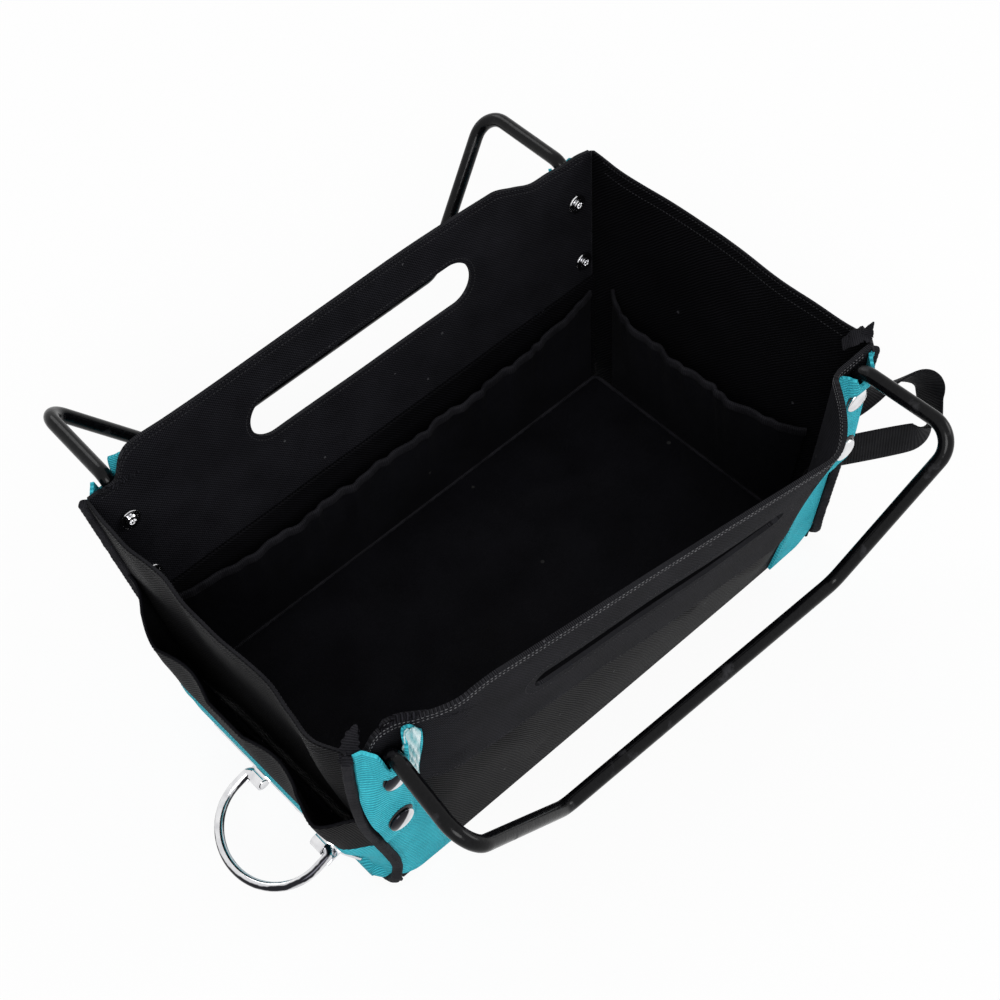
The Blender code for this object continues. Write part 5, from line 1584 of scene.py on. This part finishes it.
# The front left rivet heads carry this painted dark reflection.
head_chrome_painted_reflection = chromed_metal("chrome_heads_painted_reflection", head_painted_reflection)
WASHER_FACE = HANDLE_INSIDE - 2 * GAP - WASHER_THICKNESS - RIVET_HEAD_OFFSET
dome = [
    (
        RIVET_HEAD_RADIUS * math.sin(math.radians(angle)),
        RIVET_HEAD_RIM + (RIVET_HEAD_HEIGHT - RIVET_HEAD_RIM) * math.cos(math.radians(angle)),
    )
    for angle in range(0, 91, 9)
]
rivet_profile = dome + [
    (RIVET_HEAD_RADIUS, 0),
    (RIVET_SHANK_RADIUS, 0),
    (RIVET_SHANK_RADIUS, WASHER_FACE),
    (RIVET_FLARE_RADIUS, WASHER_FACE),
    (RIVET_FLARE_RADIUS * 0.97, WASHER_FACE - RIVET_FLARE_HEIGHT * 0.6),
    (RIVET_FLARE_RADIUS * 0.86, WASHER_FACE - RIVET_FLARE_HEIGHT),
    (RIVET_SHANK_RADIUS * 0.80, WASHER_FACE - RIVET_FLARE_HEIGHT * 0.85),
    (RIVET_SHANK_RADIUS * 0.62, WASHER_FACE),
    (RIVET_SHANK_RADIUS * 0.60, WASHER_FACE + RIVET_FLARE_HEIGHT),
    (0, WASHER_FACE + RIVET_FLARE_HEIGHT),
]
shade_disc_profile = [(0, GAP * 0.7), (SHADE_DISC_RADIUS * 0.95, GAP * 0.7), (SHADE_DISC_RADIUS, 0), (0, -GAP * 0.3)]
washer_profile = [
    (RIVET_SHANK_RADIUS + GAP, -WASHER_THICKNESS * 0.7),
    (RIVET_SHANK_RADIUS + GAP, 0),
    (WASHER_RADIUS, 0),
    (WASHER_RADIUS, -WASHER_THICKNESS * 0.4),
    (WASHER_RADIUS * 0.94, -WASHER_THICKNESS * 0.85),
    (WASHER_RADIUS * 0.84, -WASHER_THICKNESS),
    (WASHER_RADIUS * 0.70, -WASHER_THICKNESS * 0.85),
    (RIVET_SHANK_RADIUS + GAP, -WASHER_THICKNESS * 0.7),
]
for side, side_name in ((-1, "front"), (1, "back")):
    for end, end_name in ((-1, "left"), (1, "right")):
        for level, level_name in zip(RIVET_LEVELS, ("lower", "upper")):
            place = side_name + "_" + end_name + "_" + level_name
            seat = flat_long_wall(side, end * HOOK_HALF_SPAN, level, 0)
            normal = long_normal(side)
            turned_piece(
                "rivet_" + place, rivet_profile, seat + normal * RIVET_HEAD_OFFSET, normal,
                head_chrome_painted_reflection if (side, end) == (-1, -1) else chrome, "chrome", "hook_rivet_" + place,
            )
            # Painted shade: a dark disc under the head, shifted upwards, shows as a dark crescent above it.
            turned_piece(
                "rivet_shade_disc_" + place, shade_disc_profile,
                seat + long_up(side) * SHADE_DISC_RISE + normal * (RIVET_HEAD_OFFSET - GAP), normal,
                black_rod, "black_rod",
            )
            turned_piece(
                "washer_" + place, washer_profile, seat + normal * (HANDLE_INSIDE - GAP), normal,
                chrome, "chrome", "rivet_washer_" + place,
            )

# Hammer loop
# Chromed wire bent to a loop. It swings in two rolled knuckles of a stamped plate that is riveted to
# the coloured pocket panel.
LOOP_WIRE_RADIUS = 0.0025
LOOP_HALF_WIDTH = 0.0325
LOOP_STRAIGHT = 0.0100
LOOP_DEPTH = 0.0290
LOOP_CENTRE = -0.038
LOOP_BEND = 0.0030
LOOP_REST_ANGLE = math.radians(17.5)
RUNNING_GAP = 0.0004
WIRE_STEP = 0.0011
ARC_STEPS = 60
KNUCKLE_LENGTH = 0.0080
KNUCKLE_CENTRE = LOOP_HALF_WIDTH - LOOP_BEND - RUNNING_GAP - KNUCKLE_LENGTH / 2
LOOP_PIN_END = KNUCKLE_CENTRE - KNUCKLE_LENGTH / 2 - RUNNING_GAP


def wire_painted_reflection(finish, smear):
    """Painted reflection: dark streaks along the wire, which come and go, for the dark surroundings seen in
    the chrome.
    """
    along, around = finish.cut_axes()
    streak = finish.wave(around + along * 0.03, math.tau * LOOP_WIRE_RADIUS / 2) * 2.4 + smear * 1.6 - 1.2
    return finish.node("ShaderNodeClamp", {}, {"Value": streak})


loop_joint = next(joint for joint in frame["joints"] if joint["child"] == "hammer_loop")
loop_axis = Vector(loop_joint["pos_m"])
loop_out = Vector((-math.cos(LOOP_REST_ANGLE), 0, -math.sin(LOOP_REST_ANGLE)))
legs = []
for sign in (-1, 1):
    root = Vector((loop_axis.x, LOOP_CENTRE + sign * LOOP_HALF_WIDTH, loop_axis.z))
    pin = Vector((loop_axis.x, LOOP_CENTRE + sign * LOOP_PIN_END, loop_axis.z))
    legs.append(rounded_path([pin, root, root + loop_out * LOOP_STRAIGHT], [LOOP_BEND]))
arc = []
for step in range(1, ARC_STEPS):
    turn = math.pi * step / ARC_STEPS
    across = LOOP_CENTRE - LOOP_HALF_WIDTH * math.cos(turn)
    foot = Vector((loop_axis.x, across, loop_axis.z))
    arc.append(foot + loop_out * (LOOP_STRAIGHT + LOOP_DEPTH * math.sin(turn)))
route = resample(legs[0] + arc + legs[1][::-1], WIRE_STEP)
stations = [
    (point, across * LOOP_WIRE_RADIUS, aside * LOOP_WIRE_RADIUS)
    for point, (across, aside) in zip(route, path_frames(route))
]
loop_wire = sweep("hammer_loop_wire", stations, 28)
# The loop's wire carries painted dark reflections in streaks along it.
wire_chrome_painted_reflection = chromed_metal("chrome_wire_painted_reflection", wire_painted_reflection)
attach(loop_wire, "chrome", wire_chrome_painted_reflection, "hammer_loop", body="hammer_loop")
for node_name in ("hammer_loop_plate", "plate_rivet_front_low", "plate_rivet_middle_high",
                  "plate_rivet_rear_low", "plate_rivet_rear_high"):
    node = frame["nodes"][node_name]
    node.data.materials.clear()
    node.data.materials.append(chrome.material)

# Webbing loop
# Flat black webbing with fine ribs across it, sewn to the right end at two heights. It leans forwards
# and turns a quarter twist on the way back.
WEBBING_WIDTH = 0.025
WEBBING_THICKNESS = 0.0016
WEBBING_LOWER = 0.064
WEBBING_UPPER = 0.098
WEBBING_LOWER_INSET = 0.003
WEBBING_UPPER_INSET = 0.0085
WEBBING_LOWER_REACH = 0.054
WEBBING_UPPER_REACH = 0.060
WEBBING_LOWER_DRIFT = 0.030
WEBBING_UPPER_DRIFT = 0.017
WEBBING_BEND = 0.012
WEBBING_ROOT_RUN = 0.006
WEBBING_ROOT_RADIUS = 0.008
WEBBING_RIB = 0.0016
WEBBING_STEP = 0.0012
WEBBING_TURNS = ((0, 0), (0.30, 0), (0.45, 14), (0.60, 32), (0.74, 40), (0.84, 66), (0.92, 84), (1, 90))

webbing_black = tape_finish(
    "black_webbing", (0.0015, 0.0015, 0.0020, 1), (0.0140, 0.0140, 0.0160, 1), WEBBING_RIB,
)
roots = [
    Vector((half_length(level), inset - half_width(level), level))
    + end_normal(1) * (WALL_THICKNESS + GAP)
    for level, inset in ((WEBBING_LOWER, WEBBING_LOWER_INSET), (WEBBING_UPPER, WEBBING_UPPER_INSET))
]
lower, upper = roots
out = Vector((1, 0, 0))
front = Vector((0, -1, 0))
root_run = end_normal(1) * WEBBING_ROOT_RUN
webbing_corners = [
    lower,
    lower + root_run,
    lower + out * WEBBING_LOWER_REACH + front * WEBBING_LOWER_DRIFT,
    upper + out * WEBBING_UPPER_REACH + front * WEBBING_UPPER_DRIFT,
    upper + root_run,
    upper,
]
route = resample(
    rounded_path(webbing_corners, [WEBBING_ROOT_RADIUS, WEBBING_BEND, WEBBING_BEND, WEBBING_ROOT_RADIUS]),
    WEBBING_STEP,
)
stations = []
for index, point in enumerate(route):
    ahead = (route[min(index + 1, len(route) - 1)] - route[max(index - 1, 0)]).normalized()
    share = index / (len(route) - 1)
    turn = math.radians(curve_value(WEBBING_TURNS, share))
    lean = Vector((0, 0, math.cos(turn))) + front * math.sin(turn)
    wide = (lean - ahead * lean.dot(ahead)).normalized()
    stations.append((point, wide * WEBBING_WIDTH / 2, ahead.cross(wide) * WEBBING_THICKNESS / 2))
strap = sweep("webbing_loop_strap", stations, 20, 5.0)
attach(strap, "webbing", webbing_black, "webbing_loop")

# Studio
# A pale floor and a white surround, with soft light from above and both sides.
FLOOR_SIZE = 6.0
FLOOR_DROP = 0.0004
LAMP_AIM = Vector((0, 0, 0.08))
FLOOR_GLOW = 0.91
SURROUND_LIGHT = 0.45
floor_mesh = bpy.data.meshes.new("studio_floor")
floor_shell = bmesh.new()
bmesh.ops.create_grid(floor_shell, x_segments=1, y_segments=1, size=FLOOR_SIZE / 2)
floor_shell.to_mesh(floor_mesh)
floor_shell.free()
floor = bpy.data.objects.new("studio_floor", floor_mesh)
floor.location.z = -FLOOR_DROP
bpy.context.scene.collection.objects.link(floor)
floor_finish = Finish("studio_floor", {"Base Color": (0.92, 0.92, 0.92, 1), "Roughness": 0.9})
floor_glow = floor_finish.node("ShaderNodeEmission", {}, {"Color": (1, 1, 1, 1), "Strength": 1.0})
floor_path = floor_finish.node("ShaderNodeLightPath", {}, {}, "Is Camera Ray")
floor_seen = floor_path.math("MAXIMUM", floor_path, floor_path.other("Is Glossy Ray"))
floor_seen = floor_path.math("MAXIMUM", floor_seen, floor_path.other("Is Transmission Ray"))
floor_lit = Wire(floor_finish, floor_finish.surface.outputs["BSDF"])
floor_mix = floor_finish.node(
    "ShaderNodeMixShader", {}, {0: floor_seen * FLOOR_GLOW, 1: floor_lit, 2: floor_glow}
)
floor_out = floor_finish.material.node_tree.nodes["Material Output"]
floor_finish.set(floor_out.inputs["Surface"], floor_mix)
floor_mesh.materials.append(floor_finish.material)

world = bpy.data.worlds.new("studio")
bpy.context.scene.world = world
world.use_nodes = True
world_nodes = world.node_tree
world_nodes.nodes.clear()
sky = world_nodes.nodes.new("ShaderNodeBackground")
sky.inputs["Color"].default_value = (1, 1, 1, 1)
world_path = world_nodes.nodes.new("ShaderNodeLightPath")
world_seen = world_path.outputs["Is Camera Ray"]
for ray in ("Is Glossy Ray", "Is Transmission Ray"):
    either = world_nodes.nodes.new("ShaderNodeMath")
    either.operation = "MAXIMUM"
    world_nodes.links.new(world_seen, either.inputs[0])
    world_nodes.links.new(world_path.outputs[ray], either.inputs[1])
    world_seen = either.outputs[0]
world_level = world_nodes.nodes.new("ShaderNodeMapRange")
world_level.inputs["To Min"].default_value = SURROUND_LIGHT
world_level.inputs["To Max"].default_value = 1.0
world_nodes.links.new(world_seen, world_level.inputs["Value"])
world_nodes.links.new(world_level.outputs[0], sky.inputs["Strength"])
world_out = world_nodes.nodes.new("ShaderNodeOutputWorld")
world_nodes.links.new(sky.outputs[0], world_out.inputs["Surface"])

for name, place, size, power in (
    ("key_light", (-0.9, -1.2, 1.5), 1.1, 23.0),
    ("side_light", (1.5, -0.9, 0.9), 0.9, 10.0),
    ("back_light", (0.3, 1.5, 1.3), 1.0, 8.0),
):
    lamp = bpy.data.lights.new(name, "AREA")
    lamp.shape = "DISK"
    lamp.size = size
    lamp.energy = power
    light = bpy.data.objects.new(name, lamp)
    light.location = place
    light.rotation_euler = (LAMP_AIM - Vector(place)).to_track_quat("-Z", "Y").to_euler()
    bpy.context.scene.collection.objects.link(light)

bpy.context.scene.view_settings.view_transform = "Standard"
